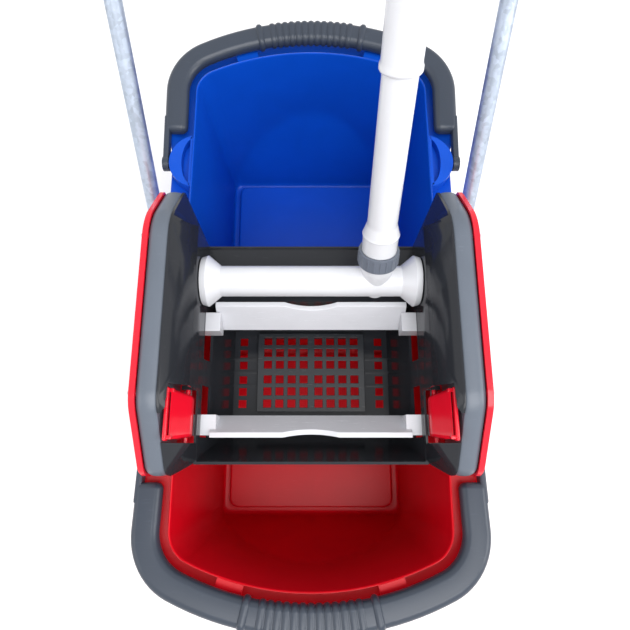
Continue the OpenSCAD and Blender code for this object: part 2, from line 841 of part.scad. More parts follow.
// Side wall above the tub: a flat plate by the lever shaft that flares out to the lip all round.
// The plate's corners run from the apron up, forward and down to the front sill.
function plate_corners() = [
    [apron_y + basket_wall - 0.5, sill_z - basket_wall + 0.5], [apron_y + 1, kink_z],
    [basket_front + 41, kink_z], [basket_front, sill_front - basket_wall]];
function between(a, b, k) = a + (b - a) * k;
function plate_edge(i, count) =
    let (c = plate_corners(), top = count * 0.28, fore = count * 0.56)
    i <= top ? between(c[0], c[1], i / top)
    : i <= fore ? between(c[1], c[2], (i - top) / (fore - top))
    : between(c[2], c[3], (i - fore) / (count - fore));

// Its skin has four rows of points: plate and lip on the inside, then lip and plate on the outside
module side_wall(side) {
    outline = rounded(inset(side_corners(), 0.5));
    lip = concat([for (i = [17:41]) outline[i]], [[basket_front - 14.5, sill_front + 8]]);
    n = len(lip);
    plate = [for (i = [0:n - 1]) plate_edge(i, n - 1)];
    middle = [shaft_y - 60, (sill_z + kink_z) / 2];
    rows = [[basket_x + seat_gap, plate], [lip_x, lip], [lip_x + basket_wall, lip],
        [wall_x - seat_gap, plate]];
    points = concat(
        [for (row = rows) for (p = row[1]) [row[0], p.x, p.y]],
        [[rows[0][0], middle.x, middle.y], [rows[3][0], middle.x, middle.y]]);
    skin = [for (r = [0:2]) for (i = [0:n - 2])
        let (q = r * n + i)
        each [[q, q + n + 1, q + 1], [q, q + n, q + n + 1]]];
    faces = [for (i = [0:n - 2]) each [[4 * n, i, i + 1], [4 * n + 1, 3 * n + i + 1, 3 * n + i]]];
    ends = [[4 * n, n - 1, 0], [4 * n + 1, 3 * n, 4 * n - 1], [0, 4 * n - 1, 3 * n], [0, n - 1, 4 * n - 1],
        [0, 2 * n, n], [0, 3 * n, 2 * n], [n - 1, 3 * n - 1, 4 * n - 1], [n - 1, 2 * n - 1, 3 * n - 1]];
    mirror([side < 0 ? 1 : 0, 0, 0])
        polyhedron(points, concat(skin, faces, ends), convexity = 4);
}

module basket() {
    color([0.2, 0.21, 0.23]) {
        difference() {
            union() {
                tub();
                for (side = [left, right])
                    side_wall(side);
            }
            for (side = [left, right]) {
                jaw_slots(side);
                latch_window(side);
                translate([0, shaft_y, shaft_z])
                    rotate([0, side * 90, 0])
                        cylinder(d = bush_d + 2 * pin_play, h = lip_x + 20);
                drain_strip(side);
            }
            grate_opening();
            back_slots();
        }
        for (side = [left, right]) {
            rack_shelf(side);
            rack_guide(side);
            latch_bracket(side);
            floor_ribs(side);
        }
    }
}

// Thin ribs that stiffen the floor between the grate and the side wall
module floor_ribs(side) {
    rib_t = 2;
    rib_h = 5;
    for (row = [-1:1])
        let (y = grate_y + row * (grate_pitch + 2))
            side_box(side, grate_w / 2 + 1, floor_x + 1.5, y - rib_t / 2, y + rib_t / 2, floor_z - 1,
                     floor_z + rib_h);
}

// Box on one side, from |x| = x0 to x1
module side_box(side, x0, x1, y0, y1, z0, z1) {
    translate([side > 0 ? x0 : -x1, y0, z0])
        cube([x1 - x0, y1 - y0, z1 - z0]);
}

// Slots in the side wall that the jaws' lugs run along
module jaw_slots(side) {
    x0 = floor_x;
    x1 = wall_x + 1;
    z0 = lug_low - 1;
    z1 = lug_high + 1;
    side_box(side, x0, x1, rear_lug_y - jaw_travel - 2, rear_lug_y + lug_l + 2, z0, z1);
    side_box(side, x0, x1, front_lug_y - 2, front_lug_y + lug_l + jaw_travel + 2, z0, z1);
}

// Shelf under the lower rack and rib above the upper one
module rack_shelf(side) {
    top = lower_rack_z - run_gap;
    y0 = front_lug_y + lug_l + jaw_travel + 3;
    y1 = rear_lug_y - jaw_travel - 3;
    side_box(side, basket_x - 1, outer_plane + rack_w, y0, y1, top - 4, top);
}

module rack_guide(side) {
    bottom = upper_rack_z + run_gap;
    side_box(side, wall_x - 1, inner_plane + rack_w, shaft_y - 40, shaft_y + 30, bottom, bottom + 3);
}

// Row of square drain holes beside the raised grate
module drain_strip(side) {
    for (row = [0:grate_rows - 1])
        translate([side * strip_x, grate_y + grate_place(row, grate_rows), floor_z])
            cube([grate_hole, grate_hole, 4 * basket_wall], center = true);
}

module grate_opening() {
    translate([0, grate_y, floor_z])
        cube([grate_w - 12, grate_l - 12, 4 * basket_wall], center = true);
}

// Short drain slots in the back wall, in two groups
module back_slots() {
    for (row = [0:2], col = [0:7])
        translate([(col - 3.5) * 12 + (col < 4 ? -4 : 4), floor_back, floor_z + 16 + 8 * row])
            cube([7, 24, 3], center = true);
}

// Window and pivot bracket of a finger latch
module latch_window(side) {
    side_box(side, latch_in - 2, housing_x, latch_y - latch_l / 2 - 2, latch_y + latch_l / 2 + 2,
             latch_low - 3, lip_z - 8);
}

module latch_bracket(side) {
    bracket_t = 5;
    for (end = [front, rear])
        difference() {
            side_box(side, basket_x + 0.5, latch_pivot_x + 6,
                     latch_y + end * (latch_l / 2 + 4) - bracket_t / 2,
                     latch_y + end * (latch_l / 2 + 4) + bracket_t / 2,
                     latch_pivot_z - 6, latch_pivot_z + 6);
            translate([side * latch_pivot_x, latch_y, latch_pivot_z])
                rotate([90, 0, 0])
                    cylinder(d = latch_pin_d + 2 * pin_play, h = 2 * latch_l, center = true);
        }
}

// Raised grate: a shallow tray upside down with rows of square holes
function grate_place(i, count) = (i - (count - 1) / 2) * grate_pitch + (i < count / 2 ? -2 : 2);

module drain_grate() {
    skin = 3;
    color([0.24, 0.25, 0.27])
        translate([0, grate_y, floor_z + seat_gap])
            difference() {
                linear_extrude(grate_h)
                    square([grate_w, grate_l], center = true);
                translate([0, 0, -skin])
                    linear_extrude(grate_h)
                        square([grate_w - 2 * skin, grate_l - 2 * skin], center = true);
                for (col = [0:grate_cols - 1], row = [0:grate_rows - 1])
                    translate([grate_place(col, grate_cols), grate_place(row, grate_rows), 0])
                        cube([grate_hole, grate_hole, 4 * grate_h], center = true);
            }
}

// Grey side housing: a rounded frame with bosses for the cover's screws
module housing(side) {
    skin = 3;
    x0 = side > 0 ? housing_x : -housing_x - housing_w;
    color([0.49, 0.53, 0.57])
        difference() {
            union() {
                along_x(x0, housing_w)
                    difference() {
                        polygon(rounded(side_corners()));
                        polygon(rounded(inset(side_corners(), skin)));
                    }
                intersection() {
                    for (at = screw_places())
                        translate([x0, at.x, at.y])
                            rotate([0, 90, 0])
                                cylinder(r = boss_r, h = housing_w);
                    along_x(x0, housing_w)
                        polygon(rounded(side_corners()));
                }
            }
            for (at = screw_places())
                translate([x0 - 1, at.x, at.y])
                    rotate([0, 90, 0])
                        cylinder(d = screw_d + 2 * pin_play, h = housing_w + 2);
        }
}

function screw_places() = [
    [basket_front - 8, rim_z + 8], [apron_y + 11, rim_z + 9], [apron_y - 20, lip_z - 8],
    [basket_front + 70, lip_z - 8]];

// Red side cover: a shallow dish with a bearing boss for the pinion's journal
module cover(side) {
    skin = 2.5;
    step = 2;
    color([0.93, 0.1, 0.17])
        mirror([side < 0 ? 1 : 0, 0, 0])
            difference() {
                union() {
                    difference() {
                        union() {
                            along_x(cover_x, cover_w - step)
                                polygon(rounded(side_corners()));
                            along_x(cover_x, cover_w)
                                polygon(rounded(inset(side_corners(), step)));
                        }
                        along_x(cover_x - 1, cover_w - skin + 1)
                            polygon(rounded(inset(side_corners(), skin + 1)));
                    }
                    translate([cover_x - housing_w / 2, shaft_y, shaft_z])
                        rotate([0, 90, 0])
                            cylinder(d = journal_d + 8, h = housing_w / 2 + cover_w - 1);
                    for (at = screw_places())
                        translate([cover_x, at.x, at.y])
                            rotate([0, 90, 0])
                                cylinder(r = boss_r - 2, h = cover_w - 1);
                }
                translate([cover_x - housing_w, shaft_y, shaft_z])
                    rotate([0, 90, 0])
                        cylinder(d = journal_d + 2 * pin_play, h = housing_w + cover_w - skin);
                for (at = screw_places())
                    translate([cover_x - 1, at.x, at.y])
                        rotate([0, 90, 0])
                            cylinder(d = screw_d + 2 * pin_play, h = cover_w + 2);
            }
}

module cover_screws() {
    color("silver")
        for (side = [left, right], at = screw_places())
            translate([side * (cover_x + cover_w + seat_gap), at.x, at.y])
                rotate([0, side * 90, 0]) {
                    translate([0, 0, -cover_w - housing_w / 2])
                        cylinder(d = screw_d, h = cover_w + housing_w / 2 + 1);
                    cylinder(d1 = 2 * screw_d, d2 = 1.2 * screw_d, h = 1.8);
                }
}

// Flanged bush in the basket wall
module bush(side) {
    color("ivory")
        translate([side * basket_x, shaft_y, shaft_z])
            rotate([0, side * 90, 0])
                difference() {
                    union() {
                        cylinder(d = bush_d, h = basket_wall + 1);
                        translate([0, 0, basket_wall + seat_gap])
                            cylinder(d = bush_d + 6, h = 1);
                    }
                    translate([0, 0, -1])
                        cylinder(d = spindle_d + 2 * pin_play, h = basket_wall + 4);
                }
}

// Lever: cross tube with flared ends, tee, ring nut, two pipes and a cap

// Lever pieces are drawn along +Z from the shaft's axis
module along_lever() {
    translate([lever_x, shaft_y, shaft_z])
        rotate([-lever_lean, 0, 0])
            children();
}

module lever_shaft() {
    end_x = basket_x - 1;
    plug_l = 28;
    root_d = shaft_d - 6;
    color("white")
        difference() {
            union() {
                translate([0, shaft_y, shaft_z])
                    rotate([0, 90, 0])
                        rotate_extrude()
                            polygon([[0, -end_x], [flare_d / 2 - 2, -end_x], [flare_d / 2, -end_x + 7],
                                [shaft_d / 2, -end_x + 22], [shaft_d / 2, end_x - 22],
                                [flare_d / 2, end_x - 7], [flare_d / 2 - 2, end_x], [0, end_x]]);
                along_lever() {
                    translate([0, 0, tee_l / 2])
                        cylinder(d = tee_d, h = tee_l / 2);
                    cylinder(d1 = root_d, d2 = tee_d, h = tee_l / 2);
                    translate([0, 0, -shaft_d / 2 + root_d / 2 - 4])
                        sphere(d = root_d);
                }
            }
            translate([0, shaft_y, shaft_z])
                rotate([0, 90, 0]) {
                    cylinder(d = shaft_d - 7, h = 2 * (end_x - plug_l), center = true);
                    cylinder(d = spindle_d + 2 * pin_play, h = 2 * end_x + 2, center = true);
                }
            along_lever()
                translate([0, 0, tee_seat])
                    cylinder(d = lever_d + 2 * pin_play, h = tee_l);
        }
}

module lever_nut() {
    ribs = 20;
    nut_d = tee_d + 6;
    color([0.4, 0.43, 0.48])
        along_lever()
            translate([0, 0, tee_l - lever_nut_h + 2])
                difference() {
                    union() {
                        cylinder(d = nut_d, h = lever_nut_h);
                        for (i = [0:ribs - 1])
                            rotate([0, 0, 360 / ribs * i])
                                translate([nut_d / 2, 0, 2])
                                    cylinder(d = 2, h = lever_nut_h - 4, $fn = 16);
                    }
                    translate([0, 0, -1])
                        cylinder(d = tee_d + 2 * seat_gap, h = lever_nut_h + 2);
                }
}

// Lower pipe with the collar that the ring nut clamps
module lever_tube() {
    wall = 3;
    collar_z = tee_l + 2 + seat_gap;
    collar_h = 28;
    top = lever_joint + pipe_lap;
    color("white")
        along_lever()
            rotate_extrude()
                polygon([[lever_d / 2 - wall, tee_seat + seat_gap], [lever_d / 2, tee_seat + seat_gap],
                    [lever_d / 2, collar_z], [tee_d / 2, collar_z], [tee_d / 2, collar_z + collar_h - 8],
                    [tee_d / 2 + 1, collar_z + collar_h - 6], [tee_d / 2, collar_z + collar_h - 4],
                    [tee_d / 2 - 1, collar_z + collar_h], [lever_d / 2, collar_z + collar_h + 9],
                    [lever_d / 2, top], [lever_d / 2 - wall, top]]);
}

// Upper pipe, pushed over the lower one, with a bead at its mouth
module lever_grip() {
    bead = 1.2;
    inner = lever_d / 2 + pin_play;
    lap_top = lever_joint + pipe_lap + seat_gap;
    color("white")
        along_lever()
            rotate_extrude()
                polygon([[inner, lever_joint], [grip_d / 2, lever_joint],
                    [grip_d / 2 + bead, lever_joint + 2],
                    [grip_d / 2 + bead, lever_joint + 6], [grip_d / 2, lever_joint + 9],
                    [grip_d / 2, lever_len - cap_h], [cap_plug_d / 2, lever_len - cap_h],
                    [cap_plug_d / 2, lap_top], [inner, lap_top]]);
}

module lever_cap() {
    dome = grip_d / 2;
    color("white")
        along_lever() {
            translate([0, 0, lever_len - cap_h - 12])
                cylinder(d = cap_plug_d - 2 * pin_play, h = 13);
            translate([0, 0, lever_len - cap_h + seat_gap])
                intersection() {
                    cylinder(r = dome, h = cap_h);
                    translate([0, 0, cap_h - 1.6 * dome])
                        sphere(r = 1.6 * dome);
                }
        }
}

// Pinion with involute teeth. Rest puts a gap at the top and one at the bottom.

function involute(base, roll) =
    base * [cos(roll) + roll * PI / 180 * sin(roll), sin(roll) - roll * PI / 180 * cos(roll)];
function roll_at(base, r) = sqrt(pow(r / base, 2) - 1) * 180 / PI;
function spun(p, a) = [p.x * cos(a) - p.y * sin(a), p.x * sin(a) + p.y * cos(a)];

module pinion_outline() {
    base = pitch_r * cos(tooth_angle);
    tip = pitch_r + tooth_tip;
    root = pitch_r - tooth_root;
    steps = 5;
    pitch_roll = roll_at(base, pitch_r);
    half_tooth = (rack_pitch / 2 - tooth_play) / 2 / pitch_r * 180 / PI;
    lean = bearing(involute(base, pitch_roll)) + half_tooth;
    flank = [for (i = [0:steps]) spun(involute(base, roll_at(base, base + (tip - base) * i / steps)), -lean)];
    edge = concat([root * unit(flank[0])], flank);
    tooth = concat(edge, [for (i = [len(edge) - 1:-1:0]) [edge[i].x, -edge[i].y]]);
    polygon([for (k = [0:pinion_teeth - 1]) for (p = tooth) spun(p, 90 + 360 / pinion_teeth * (k + 0.5))]);
}

// Rack teeth along y, pointing down, centred on the pinion's axis at shift 0
module rack_outline(from, to) {
    half = (rack_pitch / 2 - tooth_play) / 2;
    tip = half - tooth_tip * tan(tooth_angle);
    root = half + tooth_root * tan(tooth_angle);
    translate([from, tooth_root])
        square([to - from, bar_t]);
    for (k = [ceil((from + root) / rack_pitch):floor((to - root) / rack_pitch)])
        translate([k * rack_pitch, 0])
            polygon([[-tip, -tooth_tip], [tip, -tooth_tip], [root, tooth_root + 0.5],
                [-root, tooth_root + 0.5]]);
}

module pinion(side) {
    color("whitesmoke") {
        along_x(side > 0 ? pinion_x : -pinion_x - pinion_w, pinion_w)
            translate([shaft_y, shaft_z])
                pinion_outline();
        translate([side * (basket_x - 26), shaft_y, shaft_z])
            rotate([0, side * 90, 0])
                cylinder(d = spindle_d, h = pinion_x - basket_x + 27);
        translate([side * pinion_x, shaft_y, shaft_z])
            rotate([0, side * 90, 0])
                cylinder(d = journal_d, h = cover_x - pinion_x);
    }
}

// Jaws: slanted plates whose lugs pass the side walls to the racks

// Plate of the jaw. lean is the way along y that it slants from its top edge to its lower one.
module jaw_plate(top_y, lean) {
    thick = sign(lean) * jaw_t;
    scallop_w = 66;
    scallop_h = 6;
    scallop_r = (pow(scallop_w / 2, 2) + pow(scallop_h, 2)) / (2 * scallop_h);
    difference() {
        along_x(-jaw_x, 2 * jaw_x)
            polygon([[top_y, jaw_top], [top_y + thick, jaw_top], [top_y + thick + lean, jaw_low],
                [top_y + lean, jaw_low]]);
        translate([0, top_y, jaw_top - scallop_h + scallop_r])
            rotate([90, 0, 0])
                cylinder(r = scallop_r, h = 6 * jaw_t, center = true, $fn = 96);
    }
}

module rear_jaw() {
    arm_top = upper_rack_z;
    color([0.93, 0.93, 0.95]) {
        jaw_plate(rear_jaw_y, -jaw_slant);
        for (side = [left, right]) {
            side_box(side, jaw_x - 6, inner_plane + rack_w, rear_lug_y, rear_lug_y + lug_l,
                     lug_low, lug_high);
            side_box(side, inner_plane, inner_plane + rack_w, rear_lug_y, rear_lug_y + lug_l,
                     lug_low, arm_top);
            along_x(side > 0 ? inner_plane : -inner_plane - rack_w, rack_w)
                translate([shaft_y, shaft_z + pitch_r])
                    rack_outline(rear_lug_y - shaft_y, jaw_travel + 1.6 * rack_pitch);
        }
    }
}

module front_jaw() {
    color([0.93, 0.93, 0.95]) {
        jaw_plate(front_jaw_y, jaw_slant);
        for (side = [left, right]) {
            side_box(side, jaw_x - 6, outer_plane + rack_w, front_lug_y, front_lug_y + lug_l,
                     lug_low, lug_high);
            side_box(side, outer_plane, outer_plane + rack_w, front_lug_y, front_lug_y + lug_l, lug_low,
                     lower_rack_z + bar_t);
            along_x(side > 0 ? outer_plane : -outer_plane - rack_w, rack_w)
                translate([shaft_y, shaft_z - pitch_r])
                    mirror([0, 1, 0])
                        lower_rack_outline();
        }
    }
}

// The lower rack's teeth lie in front of the pinion at rest, and a plain bar runs on to the lug
module lower_rack_outline() {
    rack_outline(-jaw_travel - 1.6 * rack_pitch, 1.6 * rack_pitch);
    translate([front_lug_y - shaft_y, tooth_root])
        square([shaft_y - front_lug_y - jaw_travel, bar_t]);
}

// Finger latch: a hollow hood, open upwards and outwards, on a barrel with pivot pins.
// Its face leans from a short lower edge inside the basket out to a longer ridge.
module hood(t) {
    short = latch_l * 0.8;
    intersection() {
        along_y(latch_y - latch_l, 2 * latch_l)
            polygon([[latch_in + t, latch_low + t], [latch_in + t, latch_low + 12 + t / 2],
                [latch_out - 4 + t, latch_top + t / 3], [latch_out + t, latch_top + t / 3],
                [latch_out + t, latch_low + t]]);
        translate([0, latch_y, latch_low])
            linear_extrude(latch_top)
                polygon([[latch_in, short / 2 - t], [latch_in, t - short / 2],
                    [latch_out - 4, t - latch_l / 2],
                    [latch_out + t, t - latch_l / 2], [latch_out + t, latch_l / 2 - t],
                    [latch_out - 4, latch_l / 2 - t]]);
    }
}

module latch(side) {
    skin = 3;
    pin_l = latch_l + 12;
    color([0.96, 0.08, 0.16])
        mirror([side < 0 ? 1 : 0, 0, 0]) {
            difference() {
                hood(0);
                hood(skin);
            }
            translate([latch_pivot_x, latch_y, latch_pivot_z])
                rotate([90, 0, 0]) {
                    cylinder(r = latch_pin_d / 2 + 1.5, h = latch_l - 8, center = true);
                    cylinder(d = latch_pin_d, h = pin_l, center = true);
                }
        }
}

base_frame();
push_bow();
bow_spacers();
frame_bolts();
castor_stems();
blue_bucket();
red_bucket();
blue_bail();
red_bail();
basket();
drain_grate();
housing(left);  // left_housing
housing(right);  // right_housing
cover(left);  // left_cover
cover(right);  // right_cover
cover_screws();
bush(left);  // left_bush
bush(right);  // right_bush
lever_shaft();
lever_nut();
lever_tube();
lever_grip();
lever_cap();
pinion(left);  // left_pinion
pinion(right);  // right_pinion
rear_jaw();
front_jaw();
latch(left);  // left_latch
latch(right);  // right_latch
castor_piece(front, left, "slategray") fork();  // front_left_fork
castor_piece(front, right, "slategray") fork();  // front_right_fork
castor_piece(rear, left, "slategray") fork();  // rear_left_fork
castor_piece(rear, right, "slategray") fork();  // rear_right_fork
castor_piece(front, left, "gainsboro") axle();  // front_left_axle
castor_piece(front, right, "gainsboro") axle();  // front_right_axle
castor_piece(rear, left, "gainsboro") axle();  // rear_left_axle
castor_piece(rear, right, "gainsboro") axle();  // rear_right_axle
castor_piece(front, left, "lightgray") hub();  // front_left_hub
castor_piece(front, right, "lightgray") hub();  // front_right_hub
castor_piece(rear, left, "lightgray") hub();  // rear_left_hub
castor_piece(rear, right, "lightgray") hub();  // rear_right_hub
castor_piece(front, left, "dimgray") tyre();  // front_left_tyre
castor_piece(front, right, "dimgray") tyre();  // front_right_tyre
castor_piece(rear, left, "dimgray") tyre();  // rear_left_tyre
castor_piece(rear, right, "dimgray") tyre();  // rear_right_tyre
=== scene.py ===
import math

import bmesh
import bpy
from mathutils import Matrix, Vector


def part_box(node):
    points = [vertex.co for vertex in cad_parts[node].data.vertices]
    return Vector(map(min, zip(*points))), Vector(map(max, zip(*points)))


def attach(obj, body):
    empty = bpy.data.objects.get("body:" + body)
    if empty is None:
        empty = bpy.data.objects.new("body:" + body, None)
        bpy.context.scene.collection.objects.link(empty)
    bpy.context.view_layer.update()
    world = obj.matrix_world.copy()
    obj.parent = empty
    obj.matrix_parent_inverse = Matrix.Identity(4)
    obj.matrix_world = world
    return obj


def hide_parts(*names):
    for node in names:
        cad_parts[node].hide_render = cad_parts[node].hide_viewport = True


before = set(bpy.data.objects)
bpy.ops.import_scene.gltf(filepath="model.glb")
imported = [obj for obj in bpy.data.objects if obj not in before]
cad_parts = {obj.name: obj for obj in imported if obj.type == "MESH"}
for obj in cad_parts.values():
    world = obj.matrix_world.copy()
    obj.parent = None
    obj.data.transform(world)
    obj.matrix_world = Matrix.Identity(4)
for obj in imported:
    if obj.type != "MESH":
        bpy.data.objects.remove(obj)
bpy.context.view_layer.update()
scene = bpy.context.scene
MM = 0.001


# Studio. A white floor under a white surround, with one broad soft lamp high in front and two weaker
# ones at the sides, so that the plastics show soft highlights and keep their own colours.
def linear(hex_colour):
    """The linear RGBA value of an sRGB colour written as rrggbb."""
    parts = [int(hex_colour[i:i + 2], 16) / 255 for i in (0, 2, 4)]
    return tuple(c / 12.92 if c <= 0.04045 else ((c + 0.055) / 1.055) ** 2.4 for c in parts) + (1.0,)


def add(tree, kind, values=None, links=None, **settings):
    """One node, with values on its sockets and other nodes' outputs linked to them."""
    node = tree.nodes.new(kind)
    for name, value in settings.items():
        setattr(node, name, value)
    for socket, value in (values or {}).items():
        node.inputs[socket].default_value = value
    for socket, source in (links or {}).items():
        tree.links.new(source, node.inputs[socket])
    return node


def soft_lamp(name, size, power, at, aim):
    """A square area lamp that looks at a point."""
    lamp = bpy.data.lights.new(name, "AREA")
    lamp.size = size
    lamp.energy = power
    holder = bpy.data.objects.new(name, lamp)
    holder.location = at
    holder.rotation_euler = (Vector(aim) - Vector(at)).to_track_quat("-Z", "Y").to_euler()
    scene.collection.objects.link(holder)


scene.view_settings.view_transform = "Standard"
middle = Vector((0, 0, 0.4))
soft_lamp("front_lamp", 4.0, 204, (0.8, -2.0, 4.8), middle)
soft_lamp("left_lamp", 1.4, 8, (-2.1, -0.7, 1.7), middle)
soft_lamp("right_lamp", 1.4, 24, (2.2, -0.5, 1.6), middle)

surround = bpy.data.worlds.new("white_surround")
surround.use_nodes = True
scene.world = surround
sky = surround.node_tree
sky_light = sky.nodes["Background"]
sky_light.inputs["Color"].default_value = linear("ffffff")


def seen_directly(tree):
    """One for the rays that show a surface to the eye, straight or by way of metal or glass."""
    ray = add(tree, "ShaderNodeLightPath")
    seen = add(tree, "ShaderNodeMath", operation="MAXIMUM",
               links={0: ray.outputs["Is Camera Ray"], 1: ray.outputs["Is Glossy Ray"]})
    seen = add(tree, "ShaderNodeMath", operation="MAXIMUM",
               links={0: seen.outputs[0], 1: ray.outputs["Is Transmission Ray"]})
    return seen.outputs[0]


strength = add(sky, "ShaderNodeMapRange", values={"To Min": 0.75, "To Max": 1.0},
               links={"Value": seen_directly(sky)})
sky.links.new(strength.outputs["Result"], sky_light.inputs["Strength"])

floor_bm = bmesh.new()
bmesh.ops.create_grid(floor_bm, x_segments=1, y_segments=1, size=6)
floor_mesh = bpy.data.meshes.new("floor")
floor_bm.to_mesh(floor_mesh)
floor_bm.free()
floor = bpy.data.objects.new("floor", floor_mesh)
scene.collection.objects.link(floor)
floor_paint = bpy.data.materials.new("white_floor")
floor_paint.use_nodes = True
floor_shader = floor_paint.node_tree.nodes["Principled BSDF"]
floor_shader.inputs["Base Color"].default_value = linear("fbfbfb")
floor_shader.inputs["Roughness"].default_value = 0.9
floor_shader.inputs["Specular IOR Level"].default_value = 0.1
# Past a metre or so the floor fades to the white of the surround, so that no edge shows
paint = floor_paint.node_tree
place = add(paint, "ShaderNodeTexCoord").outputs["Object"]
distance = add(paint, "ShaderNodeVectorMath", links={0: place}, operation="LENGTH")
far = add(paint, "ShaderNodeMapRange", interpolation_type="SMOOTHSTEP",
          values={"From Min": 0.7, "From Max": 1.8}, links={"Value": distance.outputs["Value"]})
fade = add(paint, "ShaderNodeMath", operation="MULTIPLY",
           links={0: far.outputs["Result"], 1: seen_directly(paint)})
white = add(paint, "ShaderNodeEmission")
floor_finish = add(paint, "ShaderNodeMixShader", links={
    "Fac": fade.outputs[0], 1: floor_shader.outputs["BSDF"], 2: white.outputs["Emission"]})
paint.links.new(floor_finish.outputs["Shader"], paint.nodes["Material Output"].inputs["Surface"])
floor_mesh.materials.append(floor_paint)

# Camera. It is held over the front of the trolley and looks steeply down into the wringer, with a field
# of view as wide as a telephone's.
PICTURE_PX = 630
FOCAL_PX = 525
CENTRE_PX = 311
TILT = 14.7
eye = bpy.data.cameras.new("camera")
eye.sensor_width = 36
eye.lens = eye.sensor_width * FOCAL_PX / PICTURE_PX
eye.shift_x = (PICTURE_PX / 2 - CENTRE_PX) / PICTURE_PX
eye.clip_start = 0.01
camera = bpy.data.objects.new("camera", eye)
camera.location = (0, -0.206, 1.051)
camera.rotation_euler = (math.radians(TILT), 0, 0)
scene.collection.objects.link(camera)
scene.camera = camera


# Base frame. A loop of galvanised steel tube with welded cross tubes and a castor plate in each corner.
# The zinc gives it a pale blue-grey skin with faint crystals a few millimetres wide.
def finished(bm, name, material, sharp=35):
    """A new object from a bmesh, smooth up to an edge angle in degrees, with its large faces kept flat."""
    mesh = bpy.data.meshes.new(name)
    bm.to_mesh(mesh)
    bm.free()
    mesh.materials.append(material)
    mesh.polygons.foreach_set("use_smooth", [True] * len(mesh.polygons))
    mesh.set_sharp_from_angle(angle=math.radians(sharp))
    made = bpy.data.objects.new(name, mesh)
    scene.collection.objects.link(made)
    shading = made.modifiers.new("even_shading", "WEIGHTED_NORMAL")
    shading.keep_sharp = True
    return made


def round_edges(bm, edges, width, segments, clamp=False):
    """Rounds edges off by a width."""
    bmesh.ops.bevel(bm, geom=edges, offset=width, offset_type="OFFSET", affect="EDGES", segments=segments,
                    profile=0.5, material=-1, clamp_overlap=clamp)


def eased_copy(node, width, corner=30, segments=2):
    """A copy of a CAD node's solid with its sharp edges rounded off by a width."""
    bm = bmesh.new()
    bm.from_mesh(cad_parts[node].data)
    bmesh.ops.remove_doubles(bm, verts=bm.verts, dist=0.005 * MM)
    bmesh.ops.dissolve_limit(bm, angle_limit=math.radians(0.5), verts=bm.verts, edges=bm.edges)
    least = math.radians(corner)
    edges = [e for e in bm.edges if len(e.link_faces) == 2 and e.calc_face_angle(0) > least]
    round_edges(bm, edges, width, segments, clamp=True)
    return bm


def galvanised_steel(name, colour, crystal_mm):
    """Hot-dip galvanised steel: a soft metal sheen, broken up by zinc crystals and dull patches."""
    material = bpy.data.materials.new(name)
    material.use_nodes = True
    tree = material.node_tree
    shader = tree.nodes["Principled BSDF"]
    place = add(tree, "ShaderNodeTexCoord").outputs["Object"]
    crystals = add(tree, "ShaderNodeTexVoronoi", values={"Scale": 1 / (crystal_mm * MM)},
                   links={"Vector": place})
    patches = add(tree, "ShaderNodeTexNoise", values={"Scale": 1 / (35 * MM), "Detail": 5},
                  links={"Vector": place})
    grit = add(tree, "ShaderNodeTexNoise", values={"Scale": 1 / (1.2 * MM), "Detail": 2},
               links={"Vector": place})
    mixed = add(tree, "ShaderNodeMix", values={"Factor": 0.45},
                links={"A": crystals.outputs["Color"], "B": patches.outputs["Fac"]})
    tone = add(tree, "ShaderNodeValToRGB", links={"Fac": mixed.outputs["Result"]})
    tone.color_ramp.elements[0].color = [c * 0.72 for c in linear(colour)[:3]] + [1]
    tone.color_ramp.elements[0].position = 0.2
    tone.color_ramp.elements[1].color = linear(colour)
    tone.color_ramp.elements[1].position = 0.75
    tree.links.new(tone.outputs["Color"], shader.inputs["Base Color"])
    dull = add(tree, "ShaderNodeMapRange", values={"To Min": 0.34, "To Max": 0.58},
               links={"Value": mixed.outputs["Result"]})
    tree.links.new(dull.outputs["Result"], shader.inputs["Roughness"])
    relief = add(tree, "ShaderNodeBump", values={"Strength": 0.12, "Distance": 0.2 * MM},
                 links={"Height": grit.outputs["Fac"]})
    tree.links.new(relief.outputs["Normal"], shader.inputs["Normal"])
    shader.inputs["Metallic"].default_value = 0.85
    return material


zinc_skin = galvanised_steel("galvanised_tube", "c3cede", 5)
base_frame = finished(eased_copy("base_frame", 0.4 * MM), "base_loop", zinc_skin)
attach(base_frame, "trolley")
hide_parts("base_frame")


# Push bow. One bent galvanised tube: its feet run along the outside of the loop, and its two legs
# lean back to the cross tube that is pushed. It is bolted to the loop through saddle spacers.
def edges_of(verts):
    """All the edges at some vertices."""
    return list({e for v in verts for e in v.link_edges})


def new_edges(made):
    """The ring of edges that an extrude or a spin has just made."""
    verts = {g for g in made if isinstance(g, bmesh.types.BMVert)}
    return [g for g in made if isinstance(g, bmesh.types.BMEdge) and set(g.verts) <= verts]


def run_straight(bm, edges, along):
    """Extrudes a ring of edges by a vector."""
    made = bmesh.ops.extrude_edge_only(bm, edges=edges)["geom"]
    bmesh.ops.translate(bm, verts=[g for g in made if isinstance(g, bmesh.types.BMVert)], vec=along)
    return new_edges(made)


def run_bend(bm, edges, centre, axis, degrees, steps=12):
    """Spins a ring of edges round a bend."""
    verts = {v for e in edges for v in e.verts}
    made = bmesh.ops.spin(bm, geom=edges + list(verts), cent=centre, axis=axis, dvec=(0, 0, 0),
                          angle=math.radians(degrees), steps=steps, use_merge=False, use_duplicate=False)
    return new_edges(made["geom_last"])


